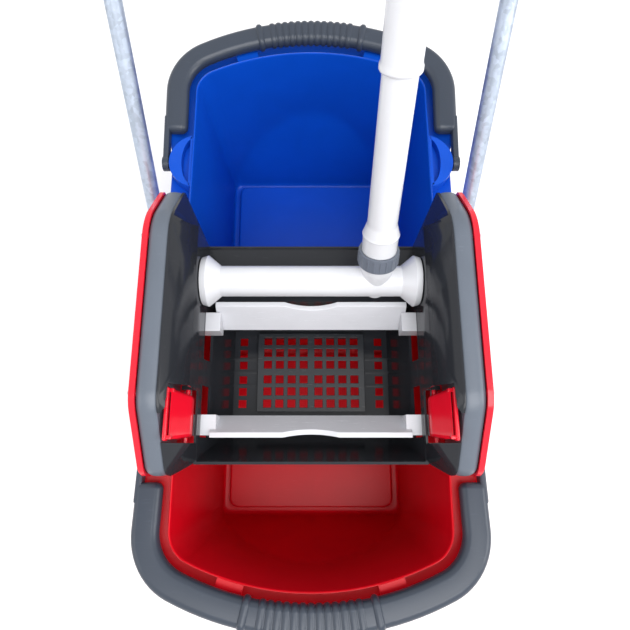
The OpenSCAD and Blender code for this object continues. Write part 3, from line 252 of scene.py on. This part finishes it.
BOW_LEAN = math.radians(37)
BOW_APEX_Y = -82 * MM
BOW_TOP_Z = 900 * MM
BOW_BEND_R = 70 * MM
TUBE_R = 10 * MM
TUBE_WALL = 1.5 * MM
bow_low, bow_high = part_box("push_bow")
leg_x = bow_high.x - TUBE_R
foot_z = bow_low.z + TUBE_R
up = Vector((0, math.sin(BOW_LEAN), math.cos(BOW_LEAN)))
over = Vector((0, -up.z, up.y))
turned = 90 - math.degrees(BOW_LEAN)
cut = BOW_BEND_R * math.tan(math.radians(turned) / 2)
leg = up * ((BOW_TOP_Z - foot_z) / up.z - cut - BOW_BEND_R)
bm = bmesh.new()
face_back = Matrix.Translation((leg_x, bow_low.y, foot_z)) @ Matrix.Rotation(math.radians(90), 4, "X")
start = bmesh.ops.create_circle(bm, segments=32, radius=TUBE_R, matrix=face_back)["verts"]
edges = edges_of(start)
bend_y = BOW_APEX_Y - cut
edges = run_straight(bm, edges, (0, bend_y - bow_low.y, 0))
edges = run_bend(bm, edges, (leg_x, bend_y, foot_z + BOW_BEND_R), (1, 0, 0), turned)
edges = run_straight(bm, edges, leg)
shoulder = Vector((leg_x, BOW_APEX_Y, foot_z)) + up * cut + leg
for side in (1, -1):
    edges = run_bend(bm, edges, (side * (leg_x - BOW_BEND_R), shoulder.y, shoulder.z), over, 90)
    if side > 0:
        edges = run_straight(bm, edges, (-2 * (leg_x - BOW_BEND_R), 0, 0))
edges = run_straight(bm, edges, -leg)
edges = run_bend(bm, edges, (-leg_x, bend_y, foot_z + BOW_BEND_R), (-1, 0, 0), turned)
run_straight(bm, edges, (0, bow_low.y - bend_y, 0))
bmesh.ops.remove_doubles(bm, verts=bm.verts, dist=0.01 * MM)
bmesh.ops.recalc_face_normals(bm, faces=bm.faces)
bmesh.ops.solidify(bm, geom=bm.faces[:], thickness=TUBE_WALL)
push_bow = finished(bm, "push_bow_tube", zinc_skin)
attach(push_bow, "trolley")
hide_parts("push_bow")


# Fastenings of the trolley. The saddle spacers are black nylon mouldings; the bolts and the castor
# stems are turned steel with a bright zinc plate.
def plated_steel(name, colour, rough):
    """Zinc-plated steel: a bright metal with a faint cloud and hairline rub marks."""
    material = bpy.data.materials.new(name)
    material.use_nodes = True
    tree = material.node_tree
    shader = tree.nodes["Principled BSDF"]
    place = add(tree, "ShaderNodeTexCoord").outputs["Object"]
    cloud = add(tree, "ShaderNodeTexNoise", values={"Scale": 1 / (6 * MM), "Detail": 4},
                links={"Vector": place})
    tone = add(tree, "ShaderNodeValToRGB", links={"Fac": cloud.outputs["Fac"]})
    tone.color_ramp.elements[0].color = [c * 0.7 for c in linear(colour)[:3]] + [1]
    tone.color_ramp.elements[0].position = 0.3
    tone.color_ramp.elements[1].color = linear(colour)
    tone.color_ramp.elements[1].position = 0.6
    tree.links.new(tone.outputs["Color"], shader.inputs["Base Color"])
    dull = add(tree, "ShaderNodeMapRange", values={"To Min": rough - 0.08, "To Max": rough + 0.12},
               links={"Value": cloud.outputs["Fac"]})
    tree.links.new(dull.outputs["Result"], shader.inputs["Roughness"])
    shader.inputs["Metallic"].default_value = 1
    return material


def moulded_plastic(name, colour, worn, rough, peel_mm=1.6, peel=0.06, scuff=0.5, shine=0.5):
    """Injection-moulded plastic: an even colour with faint flow marks, orange peel and fine scuffs."""
    material = bpy.data.materials.new(name)
    material.use_nodes = True
    tree = material.node_tree
    shader = tree.nodes["Principled BSDF"]
    place = add(tree, "ShaderNodeTexCoord").outputs["Object"]
    flow = add(tree, "ShaderNodeTexNoise", values={"Scale": 1 / (70 * MM), "Detail": 3, "Distortion": 0.6},
               links={"Vector": place})
    stretch = add(tree, "ShaderNodeMapping", links={"Vector": place})
    stretch.inputs["Rotation"].default_value = (0.5, 0.4, 0.9)
    stretch.inputs["Scale"].default_value = (1, 9, 9)
    scratches = add(tree, "ShaderNodeTexNoise", links={"Vector": stretch.outputs["Vector"]},
                    values={"Scale": 1 / (22 * MM), "Detail": 6, "Roughness": 0.7})
    rubbed = add(tree, "ShaderNodeMapRange", values={"From Min": 0.6, "From Max": 0.8, "To Max": scuff},
                 links={"Value": scratches.outputs["Fac"]})
    tone = add(tree, "ShaderNodeMix", data_type="RGBA", links={"Factor": flow.outputs["Fac"]})
    tone.inputs["A"].default_value = linear(colour)
    tone.inputs["B"].default_value = [c * 0.82 for c in linear(colour)[:3]] + [1]
    aged = add(tree, "ShaderNodeMix", data_type="RGBA",
               links={"Factor": rubbed.outputs["Result"], "A": tone.outputs["Result"]})
    aged.inputs["B"].default_value = linear(worn)
    tree.links.new(aged.outputs["Result"], shader.inputs["Base Color"])
    dull = add(tree, "ShaderNodeMapRange", links={"Value": rubbed.outputs["Result"]},
               values={"From Max": scuff, "To Min": rough, "To Max": rough + 0.2})
    tree.links.new(dull.outputs["Result"], shader.inputs["Roughness"])
    skin = add(tree, "ShaderNodeTexNoise", values={"Scale": 1 / (peel_mm * MM), "Detail": 2},
               links={"Vector": place})
    relief = add(tree, "ShaderNodeBump", values={"Strength": peel, "Distance": 0.1 * MM},
                 links={"Height": skin.outputs["Fac"]})
    tree.links.new(relief.outputs["Normal"], shader.inputs["Normal"])
    shader.inputs["IOR"].default_value = 1.49
    shader.inputs["Specular IOR Level"].default_value = shine
    return material


bright_zinc = plated_steel("bright_zinc_plate", "d3d6dc", 0.28)
black_nylon = moulded_plastic("black_nylon", "232427", "3a3b3f", 0.45)
for node, material, slot in (("bow_spacers", black_nylon, "black_plastic"),
                             ("frame_bolts", bright_zinc, "zinc_hardware"),
                             ("castor_stems", bright_zinc, "zinc_hardware")):
    fastening = finished(eased_copy(node, 0.4 * MM), node.replace("_", "-"), material)
    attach(fastening, "trolley")
    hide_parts(node)

# Castors. Each has a fork pressed from zinc-plated sheet, an axle bolt, a grey plastic hub and a grey
# rubber tyre that marks no floor. The fork swivels on its stem and the wheel turns on the axle.
fork_plate = plated_steel("pressed_zinc_plate", "bcc2ca", 0.36)
hub_plastic = moulded_plastic("hub_polypropylene", "6d7176", "85898d", 0.45)
tyre_rubber = moulded_plastic("grey_tyre_rubber", "55585c", "74777a", 0.7, peel_mm=0.8, peel=0.2, scuff=0.8)
for end in ("front", "rear"):
    for side in ("left", "right"):
        corner = f"{end}_{side}"
        for part, body, material, slot, ease in (
                ("fork", "castor", fork_plate, "castor_steel", 0.6),
                ("axle", "castor", bright_zinc, "zinc_hardware", 0.4),
                ("hub", "wheel", hub_plastic, "hub_plastic", 0.5),
                ("tyre", "wheel", tyre_rubber, "grey_tyre", 0.5)):
            castor = finished(eased_copy(f"{corner}_{part}", ease * MM), f"{corner}-{part}", material)
            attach(castor, f"{corner}_{body}")
            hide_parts(f"{corner}_{part}")


# Buckets. Two alike tubs of moulded polypropylene, blue for clean and red for dirty water, back to back.
# The wall is thin at the rim, with a broad flange below it that passes under the bail. A steeper flat
# leaves an arch on the outer end, and the floor carries a raised pad. Ears and lugs hold the bail.
RIM_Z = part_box("blue_bucket")[1].z
FOOT_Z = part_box("blue_bucket")[0].z
BUCKET_MID = 183 * MM
JOINT_Y = 2 * MM
RIM_HALF = 170 * MM
CORNER = Vector((125 * MM, 47 * MM, 0))
RIM_BEND = Vector((125 * MM, 291.4 * MM, 0))
RIM_BEND_DEG = 65.1
BOW_CENTRE = Vector((0, 22 * MM, 0))
RIM_BOW_R = 342 * MM
LIP_W = 6 * MM
SIDE_TAPER = 13 * MM
FOOT_END = 306 * MM
BOW_END = 358 * MM
ARCH_H = 192 * MM
FLAT_BEND = 14 * MM
FLANGE_Y = 112 * MM
UNDER_ARM = (212 * MM, 275 * MM)
UNDER_ARM_WIDER = 1.25
EAR_R = 40 * MM
EAR_OUT = 195.6 * MM
EAR_FLAT = 163.3 * MM
EAR_WALL = 5 * MM
EAR_DROP = 4 * MM
EAR_H = 19 * MM
WELL_NARROWS = 0.45
WELL_DEPTH = 12 * MM
REST_DEG = 15.6
REST_DROP = 4.5 * MM
REST_SIZE = Vector((27 * MM, 31 * MM, 4 * MM))
REST_ROOT = 8 * MM
# The section of the bucket from the foot over the rim to the pad, as millimetres out from the wall and up
BUCKET_SECTION = (
    (-5, 0), (-1.5, 1.5), (0, 5), (0, 40), (0, 80), (0, 120), (0, 160), (0, 200), (0, 240), (0, 268),
    (1, 271), (3, 272.2), (31, 277), (32, 278.6), (31, 279.6), (3.5, 275), (1, 277), (0, 280),
    (0, 297.5), (-0.5, 299.2), (-1.5, 300), (-2.5, 299.2), (-3, 297.5)) + tuple(
    (-3, 288 - 12 * k) for k in range(24)) + (
    (-3.8, 7.5), (-5.5, 5), (-8, 4), (-13.5, 4), (-14.2, 5), (-15.4, 12.5), (-16, 14.2),
    (-17.3, 15.6), (-19, 16))


def plot_line(bm, tip, along, steps):
    """Draws a straight line of edges on from a vertex and gives its last vertex."""
    for step in range(steps):
        tip = bmesh.ops.extrude_vert_indiv(bm, verts=[tip])["verts"][0]
        tip.co += Vector(along) / steps
    return tip


def plot_arc(bm, tip, centre, degrees, steps):
    """Draws an arc of edges on from a vertex and gives its last vertex."""
    made = bmesh.ops.spin(bm, geom=[tip], cent=centre, axis=(0, 0, 1), dvec=(0, 0, 0),
                          angle=math.radians(degrees), steps=steps, use_merge=False, use_duplicate=False)
    return [g for g in made["geom_last"] if isinstance(g, bmesh.types.BMVert)][0]


def way_out(rim):
    """The direction out of the bucket at a point of the rim's outline."""
    x = abs(rim.x)
    if rim.y > RIM_BEND.y and math.degrees(math.atan2(rim.y - BOW_CENTRE.y, x)) > RIM_BEND_DEG - 0.05:
        way = Vector((x, rim.y - BOW_CENTRE.y, 0))
    elif rim.y > RIM_BEND.y:
        way = Vector((x - RIM_BEND.x, rim.y - RIM_BEND.y, 0))
    elif x > CORNER.x and rim.y < CORNER.y:
        way = Vector((x - CORNER.x, rim.y - CORNER.y, 0))
    else:
        way = Vector((1, 0, 0) if rim.y > CORNER.y - 0.1 * MM else (0, -1, 0))
    return Vector((math.copysign(way.x, rim.x), way.y, 0)).normalized()


def on_wall(rim, out, up):
    """The point of the wall that lies inside a point of the rim, at a height over the foot."""
    if rim.y < FLANGE_Y:
        out = min(out, LIP_W)
    elif out > LIP_W and UNDER_ARM[0] < rim.y < UNDER_ARM[1]:
        out *= UNDER_ARM_WIDER
    drawn_in = LIP_W + SIDE_TAPER * (1 - up / (RIM_Z - FOOT_Z)) - out
    at = rim - way_out(rim) * drawn_in
    flat_end = FOOT_END + (BOW_END - FOOT_END) * up / ARCH_H + out
    past_bend = max(0, abs(at.x) - RIM_HALF + drawn_in + FLAT_BEND)
    flat_end += math.sqrt(max(0, FLAT_BEND ** 2 - past_bend ** 2)) - FLAT_BEND
    return Vector((at.x, min(at.y, flat_end), FOOT_Z + up))


def bucket_tub():
    """The tub, drawn as the rim's outline and then carried along the section ring by ring."""
    bm = bmesh.new()
    tip = bmesh.ops.create_vert(bm, co=(0, JOINT_Y, 0))["vert"][0]
    tip = plot_line(bm, tip, (CORNER.x, 0, 0), 4)
    tip = plot_arc(bm, tip, CORNER, 90, 12)
    tip = plot_line(bm, tip, (0, RIM_BEND.y - CORNER.y, 0), 8)
    tip = plot_arc(bm, tip, RIM_BEND, RIM_BEND_DEG, 12)
    plot_arc(bm, tip, BOW_CENTRE, 90 - RIM_BEND_DEG, 16)
    bmesh.ops.mirror(bm, geom=bm.verts[:] + bm.edges[:], axis="X", merge_dist=0.2 * MM)
    bmesh.ops.remove_doubles(bm, verts=bm.verts, dist=0.2 * MM)
    ring = {v: v.co.copy() for v in bm.verts}
    edges = bm.edges[:]
    for step, (out, up) in enumerate(BUCKET_SECTION):
        if step == 1:
            bmesh.ops.contextual_create(bm, geom=edges)
        if step:
            rims = {tuple(v.co): rim for v, rim in ring.items()}
            made = bmesh.ops.extrude_edge_only(bm, edges=edges)["geom"]
            ring = {g: rims[tuple(g.co)] for g in made if isinstance(g, bmesh.types.BMVert)}
            edges = new_edges(made)
        for v, rim in ring.items():
            v.co = on_wall(rim, out * MM, up * MM)
    bmesh.ops.contextual_create(bm, geom=edges)
    return bm


def add_ear(bm, side):
    """A half disc against the rim with a crescent left round a sunk well; it holds the bail's pin."""
    at = Matrix.Translation((side * (EAR_OUT - EAR_R), BUCKET_MID, RIM_Z - EAR_DROP))
    disc = bmesh.ops.create_circle(bm, cap_ends=True, segments=72, radius=EAR_R, matrix=at)["verts"]
    whole = disc + edges_of(disc) + list({f for v in disc for f in v.link_faces})
    kept = bmesh.ops.bisect_plane(bm, geom=whole, plane_co=(side * EAR_FLAT, 0, 0), plane_no=(side, 0, 0),
                                  clear_inner=True)["geom"]
    top = [g for g in kept if isinstance(g, bmesh.types.BMFace)][0]
    body = bmesh.ops.extrude_face_region(bm, geom=[top])["geom"]
    bottom = [g for g in body if isinstance(g, bmesh.types.BMVert)]
    bmesh.ops.translate(bm, verts=bottom, vec=(0, 0, -EAR_H))
    bmesh.ops.inset_individual(bm, faces=[top], thickness=EAR_WALL)
    beside_rim = Matrix.Translation((-side * (EAR_FLAT + EAR_WALL), 0, 0))
    bmesh.ops.scale(bm, verts=top.verts, vec=(WELL_NARROWS, 1, 1), space=beside_rim)
    well = bmesh.ops.extrude_discrete_faces(bm, faces=[top])["faces"][0]
    bmesh.ops.translate(bm, verts=well.verts, vec=(0, 0, -WELL_DEPTH))


def add_rest(bm, side):
    """A flat lug under the rim that the lying bail rests on."""
    out = RIM_BOW_R + REST_SIZE.x / 2 - REST_ROOT
    place = Matrix.Translation(BOW_CENTRE) @ Matrix.Rotation(math.radians(90 - side * REST_DEG), 4, "Z")
    place = place @ Matrix.Translation((out, 0, RIM_Z - REST_DROP - REST_SIZE.z / 2))
    bmesh.ops.create_cube(bm, size=1, matrix=place @ Matrix.Diagonal(REST_SIZE.to_4d()))


for colour_name, facing, tone, worn in (("blue", 1, "0952cc", "3f74dc"), ("red", -1, "e2081e", "ea5564")):
    polypropylene = moulded_plastic(f"{colour_name}_polypropylene", tone, worn, 0.34, scuff=0.3, shine=0.25)
    bm = bucket_tub()
    for side in (-1, 1):
        add_ear(bm, side)
        add_rest(bm, side)
    bmesh.ops.scale(bm, verts=bm.verts, vec=(1, facing, 1))
    bmesh.ops.recalc_face_normals(bm, faces=bm.faces)
    bucket = finished(bm, f"{colour_name}-tub", polypropylene, 45)
    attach(bucket, "trolley")
    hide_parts(f"{colour_name}_bucket")


# Bails. Grey moulded handles, solid and rounded, whose pins snap into the bucket ears. The bow in the
# middle has a grip of soft ridges between two collars, and each end thins down to a flat arm.
BAIL_W = 32 * MM
BAIL_H = 20 * MM
BAIL_X = 189 * MM
BAIL_BOW_R = RIM_BOW_R + 19 * MM
PIVOT_Z = RIM_Z - 13 * MM
BAIL_END_R = 8 * MM
ARM_T = 8 * MM
ARM_H = 16 * MM
ARM_ROOT = 24 * MM
ARM_EDGE_R = 3 * MM
EYE_R = 10 * MM
PIN_R = 6 * MM
PIN_LEN = 10 * MM
PIN_ROOT = 1 * MM
BAIL_TILT = math.asin(18.7 / 176.37)
RIDGE_DEG = 1.45
RIDGES = 13


def ridge(at, width, rise):
    """Places across a soft ridge as degrees along the bow, each with the height of the skin there."""
    shape = ((-0.5, 0), (-0.36, 0.55), (-0.16, 0.95), (0.16, 0.95), (0.36, 0.55), (0.5, 0))
    return [(at + width * along, rise * MM * part) for along, part in shape]


def bail_handle(arm_len):
    """The handle, level with its pivots: an oval ring carried round the rim and swelled at each ridge."""
    bm = bmesh.new()
    across = Matrix.Translation((BAIL_X, BUCKET_MID + arm_len, 0))
    across = across @ Matrix.Rotation(math.radians(90), 4, "X")
    oval = bmesh.ops.create_circle(bm, cap_ends=True, segments=32, radius=BAIL_H / 2,
                                   matrix=across)["verts"]
    for side in (-1, 1):
        half = [v for v in oval if (v.co.x - BAIL_X) * side > 0.01 * MM]
        bmesh.ops.translate(bm, verts=half, vec=(side * (BAIL_W - BAIL_H) / 2, 0, 0))
    edges = edges_of(oval)
    straight = RIM_BEND.y - BUCKET_MID - arm_len
    edges = run_straight(bm, edges, (0, straight, 0))
    edges = run_bend(bm, edges, RIM_BEND, (0, 0, 1), RIM_BEND_DEG)
    collar = RIDGE_DEG * (RIDGES + 3) / 2
    stations = ridge(-collar, RIDGE_DEG, 3)
    for k in range(RIDGES):
        stations += ridge(RIDGE_DEG * (k - (RIDGES - 1) / 2), RIDGE_DEG * 0.85, 1.7)
    stations += ridge(collar, RIDGE_DEG, 3) + [(90 - RIM_BEND_DEG, 0)]
    at, rise = RIM_BEND_DEG - 90, 0
    for angle, swell in stations:
        steps = max(1, round((angle - at) / 2))
        edges = run_bend(bm, edges, BOW_CENTRE, (0, 0, 1), angle - at, steps)
        turned = math.radians(90 + angle)
        core = BOW_CENTRE + BAIL_BOW_R * Vector((math.cos(turned), math.sin(turned), 0))
        wider = (BAIL_W + 2 * swell) / (BAIL_W + 2 * rise)
        taller = (BAIL_H + 2 * swell) / (BAIL_H + 2 * rise)
        bmesh.ops.scale(bm, verts=list({v for e in edges for v in e.verts}), vec=(wider, 1, taller),
                        space=Matrix.Rotation(-turned, 4, "Z") @ Matrix.Translation(-core))
        at, rise = angle, swell
    edges = run_bend(bm, edges, (-RIM_BEND.x, RIM_BEND.y, 0), (0, 0, 1), RIM_BEND_DEG)
    edges = run_straight(bm, edges, (0, -straight, 0))
    bmesh.ops.contextual_create(bm, geom=edges)
    bmesh.ops.remove_doubles(bm, verts=bm.verts, dist=0.01 * MM)
    ends = [e for f in bm.faces if len(f.verts) > 4 for e in f.edges]
    round_edges(bm, ends, BAIL_END_R, 5)
    return bm


def add_block(bm, at, size):
    """A plain block about a point."""
    place = Matrix.Translation(at) @ Matrix.Diagonal(size.to_4d())
    return bmesh.ops.create_cube(bm, size=1, matrix=place)["verts"]


def add_arm(bm, side, arm_len):
    """A flat arm with a round eye, and the pin that turns in the bucket's ear."""
    arm_x = BAIL_X + BAIL_W / 2 - ARM_T / 2
    pin_x = arm_x - (ARM_T + PIN_LEN) / 2 + PIN_ROOT
    length = arm_len + ARM_ROOT
    arm_at = Vector((side * arm_x, BUCKET_MID + length / 2, 0))
    arm = add_block(bm, arm_at, Vector((ARM_T, length, ARM_H)))
    round_edges(bm, edges_of(arm), ARM_EDGE_R, 3)
    for radius, depth, x in ((EYE_R, ARM_T, arm_x), (PIN_R, PIN_LEN, pin_x)):
        turned = Matrix.Translation((side * x, BUCKET_MID, 0)) @ Matrix.Rotation(math.radians(90), 4, "Y")
        bmesh.ops.create_cone(bm, cap_ends=True, segments=32, radius1=radius, radius2=radius, depth=depth,
                              matrix=turned)


bail_grey = moulded_plastic("bail_polypropylene", "373f4c", "555e6c", 0.34, peel_mm=1.2, peel=0.08)
for colour_name, facing, arm_len in (("blue", 1, 46 * MM), ("red", -1, 57 * MM)):
    bm = bail_handle(arm_len)
    for side in (-1, 1):
        add_arm(bm, side, arm_len)
    bmesh.ops.rotate(bm, verts=bm.verts, cent=(0, BUCKET_MID, 0), matrix=Matrix.Rotation(BAIL_TILT, 3, "X"))
    bmesh.ops.translate(bm, verts=bm.verts, vec=(0, 0, PIVOT_Z))
    bmesh.ops.scale(bm, verts=bm.verts, vec=(1, facing, 1))
    bmesh.ops.recalc_face_normals(bm, faces=bm.faces)
    bail = finished(bm, f"{colour_name}-bucket-bail", bail_grey, 40)
    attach(bail, f"{colour_name}_bail")
    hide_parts(f"{colour_name}_bail")


# Wringer. The dark basket is moulded with a high shine and its raised drain grate is a paler insert, the
# side housings are satin grey, partly painted sheen, and the thin outer covers are glossy red. Screws hold
# the covers on.
basket_dark = moulded_plastic("basket_polypropylene", "2b2d32", "505258", 0.14, peel=0.03, scuff=0.35,
                              shine=0.3)
grate_grey = moulded_plastic("grate_polypropylene", "2c2f34", "4c5058", 0.24)
cover_red = moulded_plastic("cover_red", "f4142e", "fb5568", 0.14, peel=0.03, scuff=0.25)
natural_nylon = moulded_plastic("natural_nylon", "e2e0d8", "f0eee8", 0.4)
for node, material, slot, ease, corner, segments in (
        ("basket", basket_dark, "basket_plastic", 0.6, 55, 2),
        ("drain_grate", grate_grey, "basket_plastic", 1.2, 30, 3),
        ("left_cover", cover_red, "glossy_red", 1.0, 50, 3),
        ("right_cover", cover_red, "glossy_red", 1.0, 50, 3),
        ("cover_screws", bright_zinc, "zinc_hardware", 0.2, 30, 2),
        ("left_bush", natural_nylon, "nylon", 0.2, 30, 2),
        ("right_bush", natural_nylon, "nylon", 0.2, 30, 2)):
    eased = eased_copy(node, ease * MM, corner, segments)
    wringer_piece = finished(eased, node.replace("_", "-"), material, corner + 5)
    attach(wringer_piece, "trolley")
    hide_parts(node)


# Side housings. Satin grey frames over the racks, between the basket's walls and the red covers. What
# shows of each is one broad rounded lip, which runs all round the wall's outline. Their grey is paler than
# the basket's plastic: partly the housing's own grey, partly a painted sheen for the light the upturned lip
# catches.
LIP_INSIDE = 2.5 * MM
LIP_OUTSIDE = 6 * MM
LIP_STEPS = 8


def rounded_lip(node):
    """The outline of a CAD housing, filled on both sides and drawn in along a quarter oval on each."""
    low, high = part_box(node)
    middle_x = (low.x + high.x) / 2
    half = (high.x - low.x) / 2
    bm = bmesh.new()
    bm.from_mesh(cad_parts[node].data)
    bmesh.ops.remove_doubles(bm, verts=bm.verts, dist=0.005 * MM)
    whole = bm.verts[:] + bm.edges[:] + bm.faces[:]
    bmesh.ops.bisect_plane(bm, geom=whole, plane_co=(middle_x, 0, 0), plane_no=(1, 0, 0), clear_inner=True,
                           clear_outer=True)
    start = max(bm.verts, key=lambda v: v.co.z)
    outline = {start}
    waiting = [start]
    while waiting:
        for edge in waiting.pop().link_edges:
            for v in edge.verts:
                if v not in outline:
                    outline.add(v)
                    waiting.append(v)
    bmesh.ops.delete(bm, geom=[v for v in bm.verts if v not in outline], context="VERTS")
    bmesh.ops.dissolve_limit(bm, angle_limit=math.radians(0.5), verts=bm.verts, edges=bm.edges)
    outward = math.copysign(half, middle_x)
    for reach, drawn_in in ((outward, LIP_OUTSIDE), (-outward, LIP_INSIDE)):
        edges = [e for e in bm.edges if len(e.link_faces) < 2]
        face = bmesh.ops.contextual_create(bm, geom=edges)["faces"][0]
        depth = 0
        for step in range(1, LIP_STEPS + 1):
            turn = math.radians(90 * step / LIP_STEPS)
            inset = drawn_in * (1 - math.cos(turn))
            bmesh.ops.inset_region(bm, faces=[face], thickness=inset - depth, use_even_offset=False,
                                   use_boundary=True)
            for v in face.verts:
                v.co.x = middle_x + reach * math.sin(turn)
            depth = inset
    bmesh.ops.recalc_face_normals(bm, faces=bm.faces)
    return bm


# A paler grey than the basket's: partly the plastic's own colour, partly painted sheen for the lit upturned
# lip
housing_grey_painted_sheen = moulded_plastic("housing_polypropylene", "646c78", "7f8691", 0.34)
for node in ("left_housing", "right_housing"):
    housing = finished(rounded_lip(node), node.replace("_", "-"), housing_grey_painted_sheen)
    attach(housing, "trolley")
    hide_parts(node)

# Lever. White pipe: a cross tube with flared ends and a tee, a grey ring nut, and two pipes pushed into
# each other. The pinions on its ends drive the racks of the jaws.
pipe_white = moulded_plastic("white_pipe", "e2e3e8", "d3d5dc", 0.22, scuff=0.3)
nut_grey = moulded_plastic("ring_nut_grey", "6c7380", "868d99", 0.4)
for node, material, slot, ease in (
        ("lever_shaft", pipe_white, "white_plastic", 0.8), ("lever_nut", nut_grey, "nut_plastic", 0.5),
        ("lever_tube", pipe_white, "white_plastic", 0.4), ("lever_grip", pipe_white, "white_plastic", 0.4),
        ("lever_cap", pipe_white, "white_plastic", 0.6), ("left_pinion", natural_nylon, "nylon", 0.2),
        ("right_pinion", natural_nylon, "nylon", 0.2)):
    lever_piece = finished(eased_copy(node, ease * MM), node.replace("_", "-"), material)
    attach(lever_piece, "lever")
    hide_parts(node)

# Jaws. White moulded plates that slide towards each other and squeeze the mop. Each is moulded with two
# racks, on lugs that pass through slots in the basket's side walls.
jaw_white = moulded_plastic("jaw_white", "dfe0e6", "cdd0d8", 0.26, scuff=0.4)
for jaw_name in ("rear_jaw", "front_jaw"):
    jaw = finished(eased_copy(jaw_name, 0.8 * MM), jaw_name.replace("_", "-"), jaw_white)
    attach(jaw, jaw_name)
    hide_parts(jaw_name)

# Latches. Glossy red finger scoops that pivot in the side walls of the basket. A rounded hood leans out
# to its top, and a bar behind that leaves a slot for the fingertip.
LATCH_Y = -166 * MM
HOOD_AT = Vector((141.5 * MM, LATCH_Y, 465.7 * MM))
HOOD_SIZE = Vector((14 * MM, 54 * MM, 55 * MM))
HOOD_DROP = 42 * MM
HOOD_NARROWS = 0.83
HOOD_EDGE_R = 3.5 * MM
BAR_AT = Vector((152.4 * MM, LATCH_Y, 489 * MM))
BAR_SIZE = Vector((4.2 * MM, 56 * MM, 11 * MM))
BAR_EDGE_R = 1.8 * MM
LINK_AT = Vector((149 * MM, LATCH_Y, 488 * MM))
LINK_SIZE = Vector((7 * MM, 4 * MM, 8 * MM))
LINK_OFF = 24.5 * MM
LINK_EDGE_R = 0.8 * MM
LATCH_PIN_AT = Vector((142 * MM, LATCH_Y, 443.2 * MM))
LATCH_PIN_R = 3 * MM
LATCH_PIN_LEN = 68 * MM
for side, facing in (("left", -1), ("right", 1)):
    bm = bmesh.new()
    hood = add_block(bm, HOOD_AT, HOOD_SIZE)
    inner = [v for v in hood if v.co.x < HOOD_AT.x]
    inner_top = [v for v in inner if v.co.z > HOOD_AT.z]
    bmesh.ops.translate(bm, verts=inner_top, vec=(0, 0, -HOOD_DROP))
    bmesh.ops.scale(bm, verts=inner, vec=(1, HOOD_NARROWS, 1), space=Matrix.Translation((0, -LATCH_Y, 0)))
    round_edges(bm, edges_of(hood), HOOD_EDGE_R, 5)
    bar = add_block(bm, BAR_AT, BAR_SIZE)
    round_edges(bm, edges_of(bar), BAR_EDGE_R, 4)
    for end in (-1, 1):
        link = add_block(bm, LINK_AT + Vector((0, end * LINK_OFF, 0)), LINK_SIZE)
        round_edges(bm, edges_of(link), LINK_EDGE_R, 2)
    across = Matrix.Translation(LATCH_PIN_AT) @ Matrix.Rotation(math.radians(90), 4, "X")
    bmesh.ops.create_cone(bm, cap_ends=True, segments=32, radius1=LATCH_PIN_R, radius2=LATCH_PIN_R,
                          depth=LATCH_PIN_LEN, matrix=across)
    bmesh.ops.scale(bm, verts=bm.verts, vec=(facing, 1, 1))
    bmesh.ops.recalc_face_normals(bm, faces=bm.faces)
    latch = finished(bm, f"{side}-latch", cover_red, 40)
    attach(latch, f"{side}_latch")
    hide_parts(f"{side}_latch")
